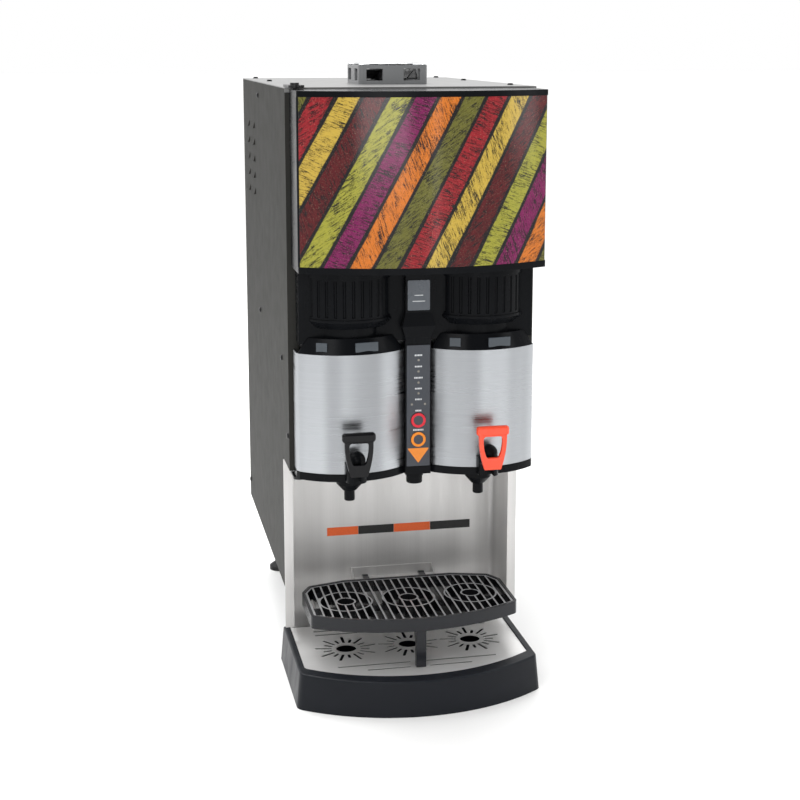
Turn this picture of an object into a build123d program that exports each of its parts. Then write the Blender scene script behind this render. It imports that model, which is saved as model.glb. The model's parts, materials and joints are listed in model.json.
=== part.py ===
"""Two-head liquid coffee and hot water dispenser for a counter.

Millimetres, +Z up.  X runs to the right for a person facing the machine, -Y is its front.
The origin is on the counter, under the middle of the machine's own box.
"""
import os
from math import cos, radians, sin, sqrt

from build123d import *

# Driving dimensions of the cabinet
WIDTH = 320.0
DEPTH = 616.0
TOP_Z = 786.0
SHEET = 1.2
FRONT_Y = -DEPTH / 2
SCREW_HEAD_H = 2.2
BACK_Y = DEPTH / 2 - SCREW_HEAD_H
HALF = WIDTH / 2
HEAD_Y = -197.0
LIP_Y = -132.0
SPLASH_Y = -57.0
FLOOR_Z = 120.0
DECK_Z = 299.0
SEAM_Y = 125.0
BULKHEAD_Y = 60.0
SHELF_Z = 470.0

# Dispense stations
HEAD_X = 85.0
SPOUT_Y = -212.0

# Door
DOOR_BACK_Y = -200.0
DOOR_BOTTOM_Z = 298.0
DOOR_TOP_Z = 784.0
DOOR_WALL = 2.5
HINGE_X = -149.0
HINGE_Y = -208.5
HINGE_PIN_R = 3.0
RUNNING_CLEARANCE = 0.06
DRUM_R = 99.0
DRUM_CENTRE_Y = -155.0
DRUM_BOTTOM_Z = 308.0
DRUM_TOP_Z = 460.0
DRUM_OUTER_X = 154.0
SPINE_HALF = 16.5
SPINE_Y = -235.0
CROWN_BOTTOM_Z = 566.0
CROWN_HALF = 155.0
CROWN_CORNER_Y = -265.0
CROWN_MIDDLE_Y = -302.0
GRAPHIC_BOTTOM_Z = 574.0
GRAPHIC_TOP_Z = 777.0
GRAPHIC_THICK = 3.0

# Taps
TAP_Y = -263.0
TAP_PIVOT_Y = -270.0
TAP_PIVOT_Z = 318.0
TAP_PIN_R = 2.0

# Cup tray and drip tray
TRAY_PIVOT_Y = -72.0
TRAY_PIVOT_Z = 102.0
TRAY_ROD_R = 3.0
TRAY_BOTTOM_Z = 95.0
TRAY_TOP_Z = 112.0
TARGET_Y = -177.0
DRIP_RIM_Z = 47.0
DRIP_COVER_Z = 45.0

# Fan
FAN_SIZE = 92.4
FAN_HEIGHT = 24.6
FAN_Y = -30.0
FAN_BORE_R = 43.5
FAN_HOLE_PITCH = 82.5

# Pumps and tank
PUMP_Z = 385.0
PUMP_FACE_Y = -175.0
TANK_X = -60.0
TANK_Y = 185.0
TANK_R = 75.0
TANK_BOTTOM_Z = 140.0
TANK_TOP_Z = 470.0

SIDES = (-1, 1)


def block(x0, x1, y0, y1, z0, z1):
    """Box between two corners."""
    centre = Pos((x0 + x1) / 2, (y0 + y1) / 2, (z0 + z1) / 2)
    return centre * Box(abs(x1 - x0), abs(y1 - y0), abs(z1 - z0))


def rod(radius, start, end):
    """Round bar from one point to another."""
    along = Vector(*end) - Vector(*start)
    ends = (Align.CENTER, Align.CENTER, Align.MIN)
    return Plane(origin=start, z_dir=along) * Cylinder(radius, along.length, align=ends)


def cone(r_start, r_end, start, end):
    """Tapered round bar from one point to another."""
    along = Vector(*end) - Vector(*start)
    ends = (Align.CENTER, Align.CENTER, Align.MIN)
    return Plane(origin=start, z_dir=along) * Cone(r_start, r_end, along.length, align=ends)


def prism(face, z0, z1):
    """Flat face pushed up from one height to another."""
    return extrude(Pos(0, 0, z0) * face, amount=z1 - z0)


def side_prism(points, x0, x1):
    """Outline of (y, z) points pushed along X."""
    face = make_face(Polyline(*points, close=True))
    return extrude(Plane.YZ.offset(x0) * face, amount=x1 - x0)


def tube_along(points, corner_radius, tube_radius):
    """Round tube along straight runs joined by arcs."""
    path = FilletPolyline(*points, radius=corner_radius)
    section = Plane(origin=path @ 0, z_dir=path % 0) * Circle(tube_radius)
    return sweep(section, path=path)


def bowed_face(half_width, y_back, y_corner, y_middle, corner_radius=0):
    """Plan with a straight back and sides and a bowed front."""
    back_right = (half_width, y_back)
    back_left = (-half_width, y_back)
    front_right = (half_width, y_corner)
    front_left = (-half_width, y_corner)
    edges = [
        Line(back_left, back_right),
        Line(back_right, front_right),
        ThreePointArc(front_right, (0, y_middle), front_left),
        Line(front_left, back_left),
    ]
    face = make_face(edges)
    if corner_radius:
        face = fillet(face.vertices().group_by(Axis.Y)[0], corner_radius)
    return face


def mirrored(solid):
    """The solid and its twin across the centre plane."""
    return [solid, mirror(solid, about=Plane.YZ)]


def save(node, *solids):
    """Write one node: a solid, or a group of separate solids."""
    parts = [piece for solid in solids for piece in solid.solids()]
    shape = parts[0] if len(parts) == 1 else Compound(children=parts)
    export_step(shape, f"parts/{node}.step")


# ---------------------------------------------------------------- case fasteners

SCREW_R = 2.0
SCREW_HOLE_R = 2.05
SCREW_HEAD_R = 4.2
SCREW_LENGTH = 8.0
SIDE_SCREWS = ((-190.0, 345.0), (-134.0, 436.0), (112.0, 457.0), (98.0, 767.0), (290.0, 150.0))
TOP_SCREWS = ((-142.0, 112.0), (142.0, 112.0), (-142.0, 292.0), (142.0, 292.0), (142.0, -140.0))
BACK_SCREWS = ((-150.0, 140.0), (150.0, 140.0), (-150.0, 760.0), (150.0, 760.0))


def side_screw_lines():
    """Start and direction of each screw in the side panels."""
    return [((side * HALF, y, z), (-side, 0, 0)) for side in SIDES for y, z in SIDE_SCREWS]


def top_screw_lines():
    """Start and direction of each screw in the top covers."""
    return [((x, y, TOP_Z), (0, 0, -1)) for x, y in TOP_SCREWS]


def back_screw_lines():
    """Start and direction of each screw in the rear panel."""
    return [((x, BACK_Y - SHEET, z), (0, -1, 0)) for x, z in BACK_SCREWS]


def offset_point(point, direction, distance):
    """Point moved along a direction."""
    return tuple(p + d * distance for p, d in zip(point, direction))


def drilled(shape, lines):
    """Shape with a clearance hole for each screw line."""
    for start, direction in lines:
        outside = offset_point(start, direction, -SCREW_HEAD_H)
        inside = offset_point(start, direction, SCREW_LENGTH + SCREW_HEAD_H)
        shape -= rod(SCREW_HOLE_R, outside, inside)
    return shape


def pan_screw(start, direction):
    """Pan-head screw with a cross recess."""
    tip = offset_point(start, direction, SCREW_LENGTH)
    crown = offset_point(start, direction, -SCREW_HEAD_H)
    head = cone(SCREW_HEAD_R, SCREW_HEAD_R * 0.7, start, crown)
    upright = Plane(origin=crown, z_dir=direction)
    recess = upright * Box(SCREW_HEAD_R, 0.8, SCREW_HEAD_H)
    recess += upright * Box(0.8, SCREW_HEAD_R, SCREW_HEAD_H)
    return head - recess + rod(SCREW_R, start, tip)


def case_screws():
    """Every screw that holds the sheet-metal case."""
    back = [(offset_point(start, direction, -SHEET), direction) for start, direction in back_screw_lines()]
    return [pan_screw(*line) for line in side_screw_lines() + top_screw_lines() + back]


# ---------------------------------------------------------------- cabinet

FLANGE = 14.0
FIT_GAP = 0.2
LOUVRE_LENGTH = 50.0
LOUVRE_RISE = 2.6
LOUVRE_HEIGHT = 9.0
LOUVRE_COLUMNS = (151.0, 219.0)
LOUVRE_ROWS = 5
LOUVRE_PITCH = 24.0
LOUVRE_FIRST_Z = 622.0


def louvre(y, z):
    """Outward scoop on the right-hand panel, with its slot below."""
    wedge = make_face(Polyline((0, 0), (LOUVRE_RISE, 0), (0, LOUVRE_HEIGHT), close=True))
    hood = extrude(Plane.XZ * wedge, amount=-LOUVRE_LENGTH)
    hollow_depth = LOUVRE_RISE - 0.9
    hollow_points = [(-SHEET, 0), (hollow_depth, 0), (-SHEET, LOUVRE_HEIGHT - SHEET)]
    hollow_face = make_face(Polyline(*hollow_points, close=True))
    hollow = extrude(Plane.XZ * hollow_face, amount=2 - LOUVRE_LENGTH)
    corner = Pos(HALF, y, z)
    return corner * hood, corner * Pos(0, 1, -0.01) * hollow


def right_side_panel():
    """Folded sheet side with louvres, a step for the head and flanges for its neighbours."""
    low_front = LIP_Y + 2.0
    back = BACK_Y - SHEET - FIT_GAP
    top = TOP_Z - SHEET - FIT_GAP
    head_bottom = DECK_Z + FIT_GAP + SHEET
    outline = [
        (low_front, FLOOR_Z),
        (back, FLOOR_Z),
        (back, top),
        (HEAD_Y, top),
        (HEAD_Y, head_bottom),
        (low_front, head_bottom),
    ]
    inner = HALF - FLANGE
    panel = side_prism(outline, HALF - SHEET, HALF)
    panel += block(inner, HALF, HEAD_Y, HEAD_Y + SHEET, head_bottom, top)
    panel += block(inner, HALF, back - SHEET, back, FLOOR_Z, top)
    panel += block(inner, HALF, HEAD_Y, back, top - SHEET, top)
    panel += block(inner, HALF, SPLASH_Y + 2 * SHEET, back, FLOOR_Z, FLOOR_Z + SHEET)
    for y in LOUVRE_COLUMNS:
        for row in range(LOUVRE_ROWS):
            hood, hollow = louvre(y, LOUVRE_FIRST_Z + row * LOUVRE_PITCH)
            panel = panel + hood - hollow
    return panel


def rear_panel():
    """Flat back with two banks of vent slots."""
    panel = block(-HALF, HALF, BACK_Y - SHEET, BACK_Y, FLOOR_Z, TOP_Z - SHEET - FIT_GAP)
    slot = Plane.XZ * SlotOverall(90, 6)
    for x in (-62, 62):
        for row in range(9):
            cut = extrude(slot, amount=2 * SHEET, both=True)
            panel -= Pos(x, BACK_Y, 560 + 18 * row) * cut
    return drilled(panel, back_screw_lines())


def top_cover_front():
    """Front half of the top, with the fan opening and a turned-down front edge."""
    cover = block(-HALF, HALF, HEAD_Y, SEAM_Y - 0.3, TOP_Z - SHEET, TOP_Z)
    skirt_back = HEAD_Y - 0.1
    cover += block(-HALF, HALF, skirt_back - SHEET, HEAD_Y, TOP_Z - SHEET, TOP_Z)
    cover += block(-HALF, HALF, skirt_back - SHEET, skirt_back, TOP_Z - 6, TOP_Z)
    cover -= Pos(0, FAN_Y, TOP_Z) * Cylinder(FAN_BORE_R, 4 * SHEET)
    for x, y in fan_holes():
        cover -= rod(SCREW_HOLE_R, (x, y, TOP_Z - 5), (x, y, TOP_Z + 5))
    return drilled(cover, top_screw_lines())


def top_cover_rear():
    """Rear half of the top."""
    cover = block(-HALF, HALF, SEAM_Y + 0.3, BACK_Y, TOP_Z - SHEET, TOP_Z)
    return drilled(cover, top_screw_lines())


INLET_X = 70.0
GLAND_X = -70.0
SERVICE_Y = 262.0
SERVICE_HOLE_R = 8.1
FRONT_LEG_Y = -28.0
REAR_LEG_Y = 280.0
LEG_X = 118.0


def leg_places():
    """Centres of the four legs."""
    return [(side * LEG_X, y) for side in SIDES for y in (FRONT_LEG_Y, REAR_LEG_Y)]


def cabinet_floor():
    """Cabinet floor between the side flanges."""
    floor = block(-HALF + SHEET + FIT_GAP, HALF - SHEET - FIT_GAP, SPLASH_Y + 2 * SHEET,
                  BACK_Y - 3 * SHEET, FLOOR_Z + SHEET, FLOOR_Z + 2 * SHEET)
    for x in (GLAND_X, INLET_X):
        floor -= Pos(x, SERVICE_Y, FLOOR_Z) * Cylinder(SERVICE_HOLE_R, 20)
    for x in range(-40, 41, 16):
        floor -= Pos(x, 60, FLOOR_Z) * Box(5, 90, 20)
    for x, y in leg_places():
        floor -= Pos(x, y, FLOOR_Z) * Cylinder(5.2, 20)
    return floor


def head_deck():
    """Underside of the head, from the splash panel to the door."""
    deck = block(-HALF + SHEET + FIT_GAP, HALF - SHEET - FIT_GAP, HEAD_Y + 2 * SHEET, SPLASH_Y + SHEET,
                 DECK_Z, DECK_Z + SHEET)
    deck += block(-145, 145, HEAD_Y + 2 * SHEET, HEAD_Y + 3 * SHEET, DECK_Z, DECK_Z + 22)
    return deck


def inner_bulkhead():
    """Wall between the product bay and the hot, wired rear bay."""
    wall = block(-145, 145, BULKHEAD_Y, BULKHEAD_Y + SHEET, FLOOR_Z + 2 * SHEET, TOP_Z - 4)
    for side in SIDES:
        flange_bottom = FLOOR_Z + 2 * SHEET
        wall += block(side * 145, side * 144, BULKHEAD_Y, BULKHEAD_Y + FLANGE, flange_bottom, TOP_Z - 4)
    wall -= rod(7, (0, BULKHEAD_Y - 5, 358), (0, BULKHEAD_Y + 10, 358))
    wall -= rod(9, (120, BULKHEAD_Y - 5, 440), (120, BULKHEAD_Y + 10, 440))
    return wall


def product_shelf():
    """Shelf that carries the two product containers."""
    shelf = block(-144, 144, HEAD_Y + 10, BULKHEAD_Y - 0.2, SHELF_Z - SHEET, SHELF_Z)
    shelf += block(-144, 144, HEAD_Y + 10, HEAD_Y + 10 + SHEET, SHELF_Z - 10, SHELF_Z)
    shelf += block(-1, 1, HEAD_Y + 10, BULKHEAD_Y - 0.2, SHELF_Z, SHELF_Z + 60)
    for side in SIDES:
        shelf -= Pos(side * 75, CONTAINER_FRONT_Y + 26, SHELF_Z) * Cylinder(13, 20)
    for x in (-75, 75):
        shelf -= Pos(x, -10, SHELF_Z) * Box(90, 60, 10)
    return shelf


def splash_panel():
    """Brushed steel back splash: a shallow tray shape with hemmed front lips."""
    bottom = 63.0
    top = DECK_Z - 1.0
    bend = 8.0
    width = 149.2
    outer = Pos(0, (LIP_Y + SPLASH_Y + SHEET) / 2) * Rectangle(2 * width, SPLASH_Y + SHEET - LIP_Y)
    outer = fillet(outer.vertices().group_by(Axis.Y)[-1], bend)
    inner = Pos(0, (LIP_Y + SPLASH_Y) / 2 - 1) * Rectangle(2 * (width - SHEET), SPLASH_Y - LIP_Y + 2)
    inner = fillet(inner.vertices().group_by(Axis.Y)[-1], bend - SHEET)
    panel = prism(outer - inner, bottom, top)
    for side in SIDES:
        panel += block(side * (width - SHEET), side * HALF, LIP_Y - 1.0, LIP_Y + 1.4, bottom, top)
        panel += block(side * (HALF - 1.0), side * HALF, LIP_Y - 1.0, LIP_Y + 1.7, bottom, top)
    panel += block(-width + bend, width - bend, SPLASH_Y, SPLASH_Y + SHEET, 24, bottom + 5)
    return panel


def tray_hanger():
    """Folded steel bracket and cross rod that the cup tray hooks on."""
    reach = SPLASH_Y - TRAY_PIVOT_Y + 7
    plate = block(-58, 58, SPLASH_Y - SHEET, SPLASH_Y, TRAY_PIVOT_Z - 14, TRAY_PIVOT_Z + 12)
    rear = SPLASH_Y - SHEET / 2
    cheek = [
        (rear, TRAY_PIVOT_Z - 14),
        (rear, TRAY_PIVOT_Z + 12),
        (rear - 4, TRAY_PIVOT_Z + 12),
        (rear - reach, TRAY_PIVOT_Z + 5),
        (rear - reach, TRAY_PIVOT_Z - 6),
    ]
    for x in (-58, 58 - 1.5):
        plate += side_prism(cheek, x, x + 1.5)
    plate += rod(TRAY_ROD_R, (-57, TRAY_PIVOT_Y, TRAY_PIVOT_Z), (57, TRAY_PIVOT_Y, TRAY_PIVOT_Z))
    return plate


def cabinet_legs():
    """Four turned plastic legs."""
    legs = []
    for x, y in leg_places():
        leg = cone(14, 11, (x, y, FLOOR_Z), (x, y, 26))
        leg += rod(16, (x, y, FLOOR_Z - 5), (x, y, FLOOR_Z))
        leg -= rod(5.05, (x, y, 20), (x, y, 80))
        legs.append(leg)
    return legs


def leveling_feet():
    """Threaded studs with round pads."""
    feet = []
    for x, y in leg_places():
        pad = rod(16, (x, y, 0), (x, y, 6)) + cone(16, 8, (x, y, 6), (x, y, 12))
        pad += rod(5, (x, y, 12), (x, y, 78))
        pad += Pos(x, y, 17) * extrude(RegularPolygon(8, 6), amount=5)
        feet.append(pad)
    return feet


def hinge_brackets():
    """Upper and lower door hinge plates with their pins."""
    pads = []
    for plate_z0, plate_z1, tip in (
        (TOP_Z, TOP_Z + 3.0, DOOR_TOP_Z - 12.0),
        (DOOR_BOTTOM_Z - 4.5, DOOR_BOTTOM_Z - 1.5, DOOR_BOTTOM_Z + 8.5),
    ):
        plate = block(HINGE_X - 8, HINGE_X + 12, HINGE_Y, HEAD_Y + 34, plate_z0, plate_z1)
        plate += Pos(HINGE_X, HINGE_Y, (plate_z0 + plate_z1) / 2) * Cylinder(8, plate_z1 - plate_z0)
        plate += rod(HINGE_PIN_R, (HINGE_X, HINGE_Y, (plate_z0 + plate_z1) / 2), (HINGE_X, HINGE_Y, tip))
        pads.append(plate)
    lower = pads[1]
    lower += block(HINGE_X - 7, HINGE_X + 12, HEAD_Y + 4, HEAD_Y + 34, DOOR_BOTTOM_Z - 2, DECK_Z)
    upper = pads[0]
    knob = rod(5.5, (HINGE_X, HINGE_Y, TOP_Z + 3), (HINGE_X, HINGE_Y, TOP_Z + 6))
    upper += knob
    upper += rod(4.5, (HINGE_X + 4, HEAD_Y + 22, TOP_Z + 3), (HINGE_X + 4, HEAD_Y + 22, TOP_Z + 5))
    return [upper, lower]


# ---------------------------------------------------------------- exhaust fan

def fan_holes():
    """Screw places of the fan."""
    half = FAN_HOLE_PITCH / 2
    return [(sx * half, FAN_Y + sy * half) for sx in SIDES for sy in SIDES]


def fan_frame():
    """Square fan body with a round duct, cut-back sides and a motor spider."""
    bottom = TOP_Z
    top = TOP_Z + FAN_HEIGHT
    square = Pos(0, FAN_Y) * RectangleRounded(FAN_SIZE, FAN_SIZE, 5)
    body = prism(square, bottom, top)
    body -= rod(FAN_BORE_R, (0, FAN_Y, bottom - 1), (0, FAN_Y, top + 1))
    window = FAN_HEIGHT - 2 * 4.5
    for sx in SIDES:
        for sy in SIDES:
            x0, x1 = sx * 14, sx * 36
            y0, y1 = FAN_Y + sy * 14, FAN_Y + sy * 36
            edge = FAN_SIZE / 2 + 1
            body -= block(x0, x1, FAN_Y, FAN_Y + sy * edge, bottom + 4.5, bottom + 4.5 + window)
            body -= block(0, sx * edge, y0, y1, bottom + 4.5, bottom + 4.5 + window)
    for x, y in fan_holes():
        body -= rod(SCREW_HOLE_R, (x, y, bottom - 1), (x, y, top + 1))
    body += rod(17, (0, FAN_Y, bottom), (0, FAN_Y, bottom + 3))
    for turn in range(3):
        arm = block(0, FAN_BORE_R + 1, -2.5, 2.5, bottom, bottom + 3)
        body += Pos(0, FAN_Y, 0) * Rot(0, 0, 90 + 120 * turn) * arm
    body += rod(1.5, (0, FAN_Y, bottom + 2), (0, FAN_Y, bottom + 18))
    return body


def fan_rotor():
    """Hub with seven pitched blades on the fan's axle."""
    hub_bottom = TOP_Z + 4.5
    hub_top = TOP_Z + 20.5
    hub = rod(17, (0, FAN_Y, hub_bottom), (0, FAN_Y, hub_top))
    blade_mid = (hub_bottom + hub_top) / 2
    for turn in range(7):
        blade = Pos(28, 0, blade_mid) * Rot(38, 0, 0) * Box(26, 19, 1.6)
        hub += Pos(0, FAN_Y, 0) * Rot(0, 0, 360 / 7 * turn) * blade
    hub &= rod(FAN_BORE_R - 1.2, (0, FAN_Y, hub_bottom), (0, FAN_Y, hub_top))
    hub -= rod(1.56, (0, FAN_Y, hub_bottom - 1), (0, FAN_Y, TOP_Z + 18.2))
    return hub


def fan_guard():
    """Finger guard of rings and spokes with four screw eyes, and the screws through them."""
    level = TOP_Z + FAN_HEIGHT
    wire = 2.0
    reach = FAN_HOLE_PITCH / sqrt(2)
    plan = Circle(12)
    for radius in (20, 28, 36, 43.5):
        plan += Circle(radius) - Circle(radius - wire)
    for turn in range(4):
        spoke = Pos(reach / 2, 0) * Rectangle(reach, wire) + Pos(reach, 0) * Circle(4.6)
        plan += Rot(0, 0, 45 + 90 * turn) * spoke
    for turn in range(4):
        plan -= Rot(0, 0, 45 + 90 * turn) * Pos(reach, 0) * Circle(SCREW_HOLE_R)
    guard = prism(Pos(0, FAN_Y) * plan, level, level + wire)
    screws = []
    for x, y in fan_holes():
        head = cone(3.6, 2.6, (x, y, level + wire), (x, y, level + wire + 2.0))
        screws.append(head + rod(SCREW_R, (x, y, level + wire), (x, y, TOP_Z - 4)))
    return [guard] + screws


# ---------------------------------------------------------------- product system

CONTAINER_FRONT_Y = -182.0
CONTAINER_BACK_Y = 52.0
CONTAINER_TOP_Z = 752.0


def product_container():
    """Blow-moulded bottle with a neck and an outlet at the front of its base."""
    x0, x1 = 6.0, 140.0
    outer = block(x0, x1, CONTAINER_FRONT_Y, CONTAINER_BACK_Y, SHELF_Z, CONTAINER_TOP_Z)
    outer = fillet(outer.edges().filter_by(Axis.Z), 14)
    outer = fillet(outer.edges().group_by(Axis.Z)[-1], 10)
    neck_x = (x0 + x1) / 2 + 2
    neck_y = CONTAINER_FRONT_Y + 60
    outer += rod(24, (neck_x, neck_y, CONTAINER_TOP_Z - 1), (neck_x, neck_y, CONTAINER_TOP_Z + 8))
    outlet = (75, CONTAINER_FRONT_Y + 26)
    outer += rod(9, (*outlet, SHELF_Z - 14), (*outlet, SHELF_Z + 1))
    inner = block(x0 + 2.5, x1 - 2.5, CONTAINER_FRONT_Y + 2.5, CONTAINER_BACK_Y - 2.5,
                  SHELF_Z + 2.5, CONTAINER_TOP_Z - 2.5)
    inner = fillet(inner.edges().filter_by(Axis.Z), 11.5)
    inner = fillet(inner.edges().group_by(Axis.Z)[-1], 7.5)
    inner += rod(21, (neck_x, neck_y, CONTAINER_TOP_Z - 5), (neck_x, neck_y, CONTAINER_TOP_Z + 9))
    inner += rod(6.05, (*outlet, SHELF_Z - 15), (*outlet, SHELF_Z + 5))
    return outer - inner


def container_cap():
    """Ribbed screw cap that sits over the bottle's neck."""
    x, y = 75.0, CONTAINER_FRONT_Y + 60
    cap = rod(28, (x, y, CONTAINER_TOP_Z + 0.2), (x, y, CONTAINER_TOP_Z + 11))
    cap -= rod(24.2, (x, y, CONTAINER_TOP_Z), (x, y, CONTAINER_TOP_Z + 8.2))
    for turn in range(24):
        groove = Pos(28.4, 0, CONTAINER_TOP_Z + 6) * Cylinder(1.2, 14)
        cap -= Pos(x, y, 0) * Rot(0, 0, 15 * turn) * groove
    return cap


def pump_housing():
    """Peristaltic pump head with an open race for the roller wheel."""
    face_y = PUMP_FACE_Y
    body = block(HEAD_X - 36, HEAD_X + 36, face_y, face_y + 24, PUMP_Z - 36, PUMP_Z + 36)
    body = fillet(body.edges().filter_by(Axis.Y), 8)
    body -= rod(28, (HEAD_X, face_y - 1, PUMP_Z), (HEAD_X, face_y + 18, PUMP_Z))
    body -= rod(4.3, (HEAD_X, face_y, PUMP_Z), (HEAD_X, face_y + 30, PUMP_Z))
    for x in (HEAD_X - 26, HEAD_X + 26):
        body -= rod(2.2, (x, face_y + 9, PUMP_Z + 50), (x, face_y + 9, PUMP_Z))
    for side in SIDES:
        x0, x1 = HEAD_X + side * 20, HEAD_X + side * 30
        body += block(x0, x1, face_y + 18, face_y + 24, DECK_Z + SHEET, PUMP_Z - 30)
    return body


def pump_motor():
    """Round gear motor behind the pump."""
    y0 = PUMP_FACE_Y + 24
    motor = rod(26, (HEAD_X, y0, PUMP_Z), (HEAD_X, y0 + 22, PUMP_Z))
    motor += rod(21, (HEAD_X, y0 + 22, PUMP_Z), (HEAD_X, y0 + 78, PUMP_Z))
    motor -= rod(4.3, (HEAD_X, y0 - 1, PUMP_Z), (HEAD_X, y0 + 10, PUMP_Z))
    return motor


def pump_rotor(x):
    """Roller wheel with three rollers between two plates, and its shaft."""
    y0 = PUMP_FACE_Y + 1
    wheel = rod(8, (0, y0, 0), (0, y0 + 15, 0))
    for turn in range(3):
        arm = rod(5.8, (17, y0 + 1, 0), (17, y0 + 14, 0))
        for y in (y0, y0 + 12.5):
            arm += block(0, 17, y, y + 2.5, -5, 5)
            arm += rod(5.4, (17, y, 0), (17, y + 2.5, 0))
        wheel += Rot(0, 120 * turn, 0) * arm
    wheel += rod(4, (0, y0 + 10, 0), (0, PUMP_FACE_Y + 32, 0))
    return Pos(x, 0, PUMP_Z) * wheel


def product_tube():
    """Soft tube from the bottle outlet, round the pump race and out over the mixing bowl."""
    y = PUMP_FACE_Y + 9
    outlet = (75, CONTAINER_FRONT_Y + 26)
    feed = rod(6, (*outlet, SHELF_Z - 30), (*outlet, SHELF_Z - 1))
    feed -= rod(3, (*outlet, SHELF_Z - 35), (*outlet, SHELF_Z))
    race = Plane(origin=(HEAD_X, y, PUMP_Z), x_dir=(1, 0, 0), z_dir=(0, 1, 0)) * Torus(25.9, 1.85)
    race &= block(HEAD_X - 40, HEAD_X + 40, y - 5, y + 5, PUMP_Z - 40, PUMP_Z + 2)
    spout = tube_along(
        [(HEAD_X - 4, PUMP_FACE_Y - 1, 352), (HEAD_X - 4, SPOUT_Y, 352), (HEAD_X - 4, SPOUT_Y, 338)], 5, 3)
    spout += rod(5, (HEAD_X - 4, PUMP_FACE_Y - 4, 352), (HEAD_X - 4, PUMP_FACE_Y, 352))
    return [feed, race, spout]


def water_manifold():
    """Hot water bar with three spouts, fed from the tank."""
    z = 326.0
    bar = block(-100, 100, -150, -138, z - 6, z + 6)
    bar = fillet(bar.edges().filter_by(Axis.X), 3)
    for x in (-HEAD_X + 6, 0, HEAD_X + 6):
        bar += tube_along([(x, -145, z), (x, SPOUT_Y, z), (x, SPOUT_Y, z - 8)], 4, 3)
    bar += tube_along([(0, -140, z), (0, 20, z), (0, 20, 358), (0, BULKHEAD_Y + 26, 358)], 12, 5)
    return bar


# ---------------------------------------------------------------- hot water tank

def tank_bracket():
    """Folded saddle under the tank."""
    saddle = block(TANK_X - 60, TANK_X + 60, TANK_Y - 60, TANK_Y + 60, TANK_BOTTOM_Z - 2, TANK_BOTTOM_Z)
    for side in SIDES:
        x = TANK_X + side * 59
        saddle += block(x - 1, x + 1, TANK_Y - 60, TANK_Y + 60, FLOOR_Z + 2 * SHEET, TANK_BOTTOM_Z)
    return saddle


def tank_shell():
    """Drawn steel tank with a rolled rim and an outlet stub."""
    shell = rod(TANK_R, (TANK_X, TANK_Y, TANK_BOTTOM_Z), (TANK_X, TANK_Y, TANK_TOP_Z))
    shell += rod(TANK_R + 8, (TANK_X, TANK_Y, TANK_TOP_Z - 2), (TANK_X, TANK_Y, TANK_TOP_Z))
    shell -= rod(TANK_R - 1.5, (TANK_X, TANK_Y, TANK_BOTTOM_Z + 1.5), (TANK_X, TANK_Y, TANK_TOP_Z + 1))
    return shell


def tank_gasket():
    """Rubber ring between rim and lid."""
    ring = rod(TANK_R + 7, (TANK_X, TANK_Y, TANK_TOP_Z), (TANK_X, TANK_Y, TANK_TOP_Z + 2))
    return ring - rod(TANK_R - 1, (TANK_X, TANK_Y, TANK_TOP_Z - 1), (TANK_X, TANK_Y, TANK_TOP_Z + 3))


def tank_lid():
    """Lid with clamp screws and holes for heater and probes."""
    z = TANK_TOP_Z + 2
    lid = rod(TANK_R + 8, (TANK_X, TANK_Y, z), (TANK_X, TANK_Y, z + 2))
    for turn in range(8):
        screw = rod(3.5, (TANK_R + 3, 0, z + 1), (TANK_R + 3, 0, z + 5))
        lid += Pos(TANK_X, TANK_Y, 0) * Rot(0, 0, 45 * turn) * screw
    for x, radius in lid_holes():
        lid -= rod(radius, (x, TANK_Y, z - 1), (x, TANK_Y, z + 6))
    return lid


def lid_holes():
    """Places along the lid for the heater's two legs and the two probes."""
    return [(TANK_X - 40, 6.05), (TANK_X + 10, 6.05), (TANK_X + 30, 4.05), (TANK_X + 50, 3.05)]


def heating_element():
    """Sheathed heater bent into a long hairpin, with terminal ends above the lid."""
    x0, x1 = TANK_X - 40, TANK_X + 10
    top = TANK_TOP_Z + 24
    low = TANK_BOTTOM_Z + 30
    return tube_along([(x0, TANK_Y, top), (x0, TANK_Y, low), (x1, TANK_Y, low), (x1, TANK_Y, top)], 24, 6)


def tank_probes():
    """Temperature probe and level probe."""
    temperature = rod(4, (TANK_X + 30, TANK_Y, 300), (TANK_X + 30, TANK_Y, TANK_TOP_Z + 4))
    temperature += rod(7, (TANK_X + 30, TANK_Y, TANK_TOP_Z + 4), (TANK_X + 30, TANK_Y, TANK_TOP_Z + 16))
    level = rod(3, (TANK_X + 50, TANK_Y, 420), (TANK_X + 50, TANK_Y, TANK_TOP_Z + 4))
    level += rod(6, (TANK_X + 50, TANK_Y, TANK_TOP_Z + 4), (TANK_X + 50, TANK_Y, TANK_TOP_Z + 18))
    return [temperature, level]


def inlet_valve():
    """Solenoid water valve standing on the floor over the inlet."""
    z = FLOOR_Z + 2 * SHEET
    valve = block(INLET_X - 18, INLET_X + 18, SERVICE_Y - 16, SERVICE_Y + 16, z, z + 30)
    valve += rod(15, (INLET_X, SERVICE_Y, z + 30), (INLET_X, SERVICE_Y, z + 62))
    valve -= rod(8.1, (INLET_X, SERVICE_Y, z - 1), (INLET_X, SERVICE_Y, z + 12))
    return valve


def inlet_fitting():
    """Flare fitting that hangs below the floor for the water supply."""
    fitting = rod(5.5, (INLET_X, SERVICE_Y, 90), (INLET_X, SERVICE_Y, 106))
    fitting += Pos(INLET_X, SERVICE_Y, 106) * extrude(RegularPolygon(10, 6), amount=10)
    fitting += rod(8, (INLET_X, SERVICE_Y, 115), (INLET_X, SERVICE_Y, 132))
    fitting -= rod(3, (INLET_X, SERVICE_Y, 89), (INLET_X, SERVICE_Y, 133))
    return fitting


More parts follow.
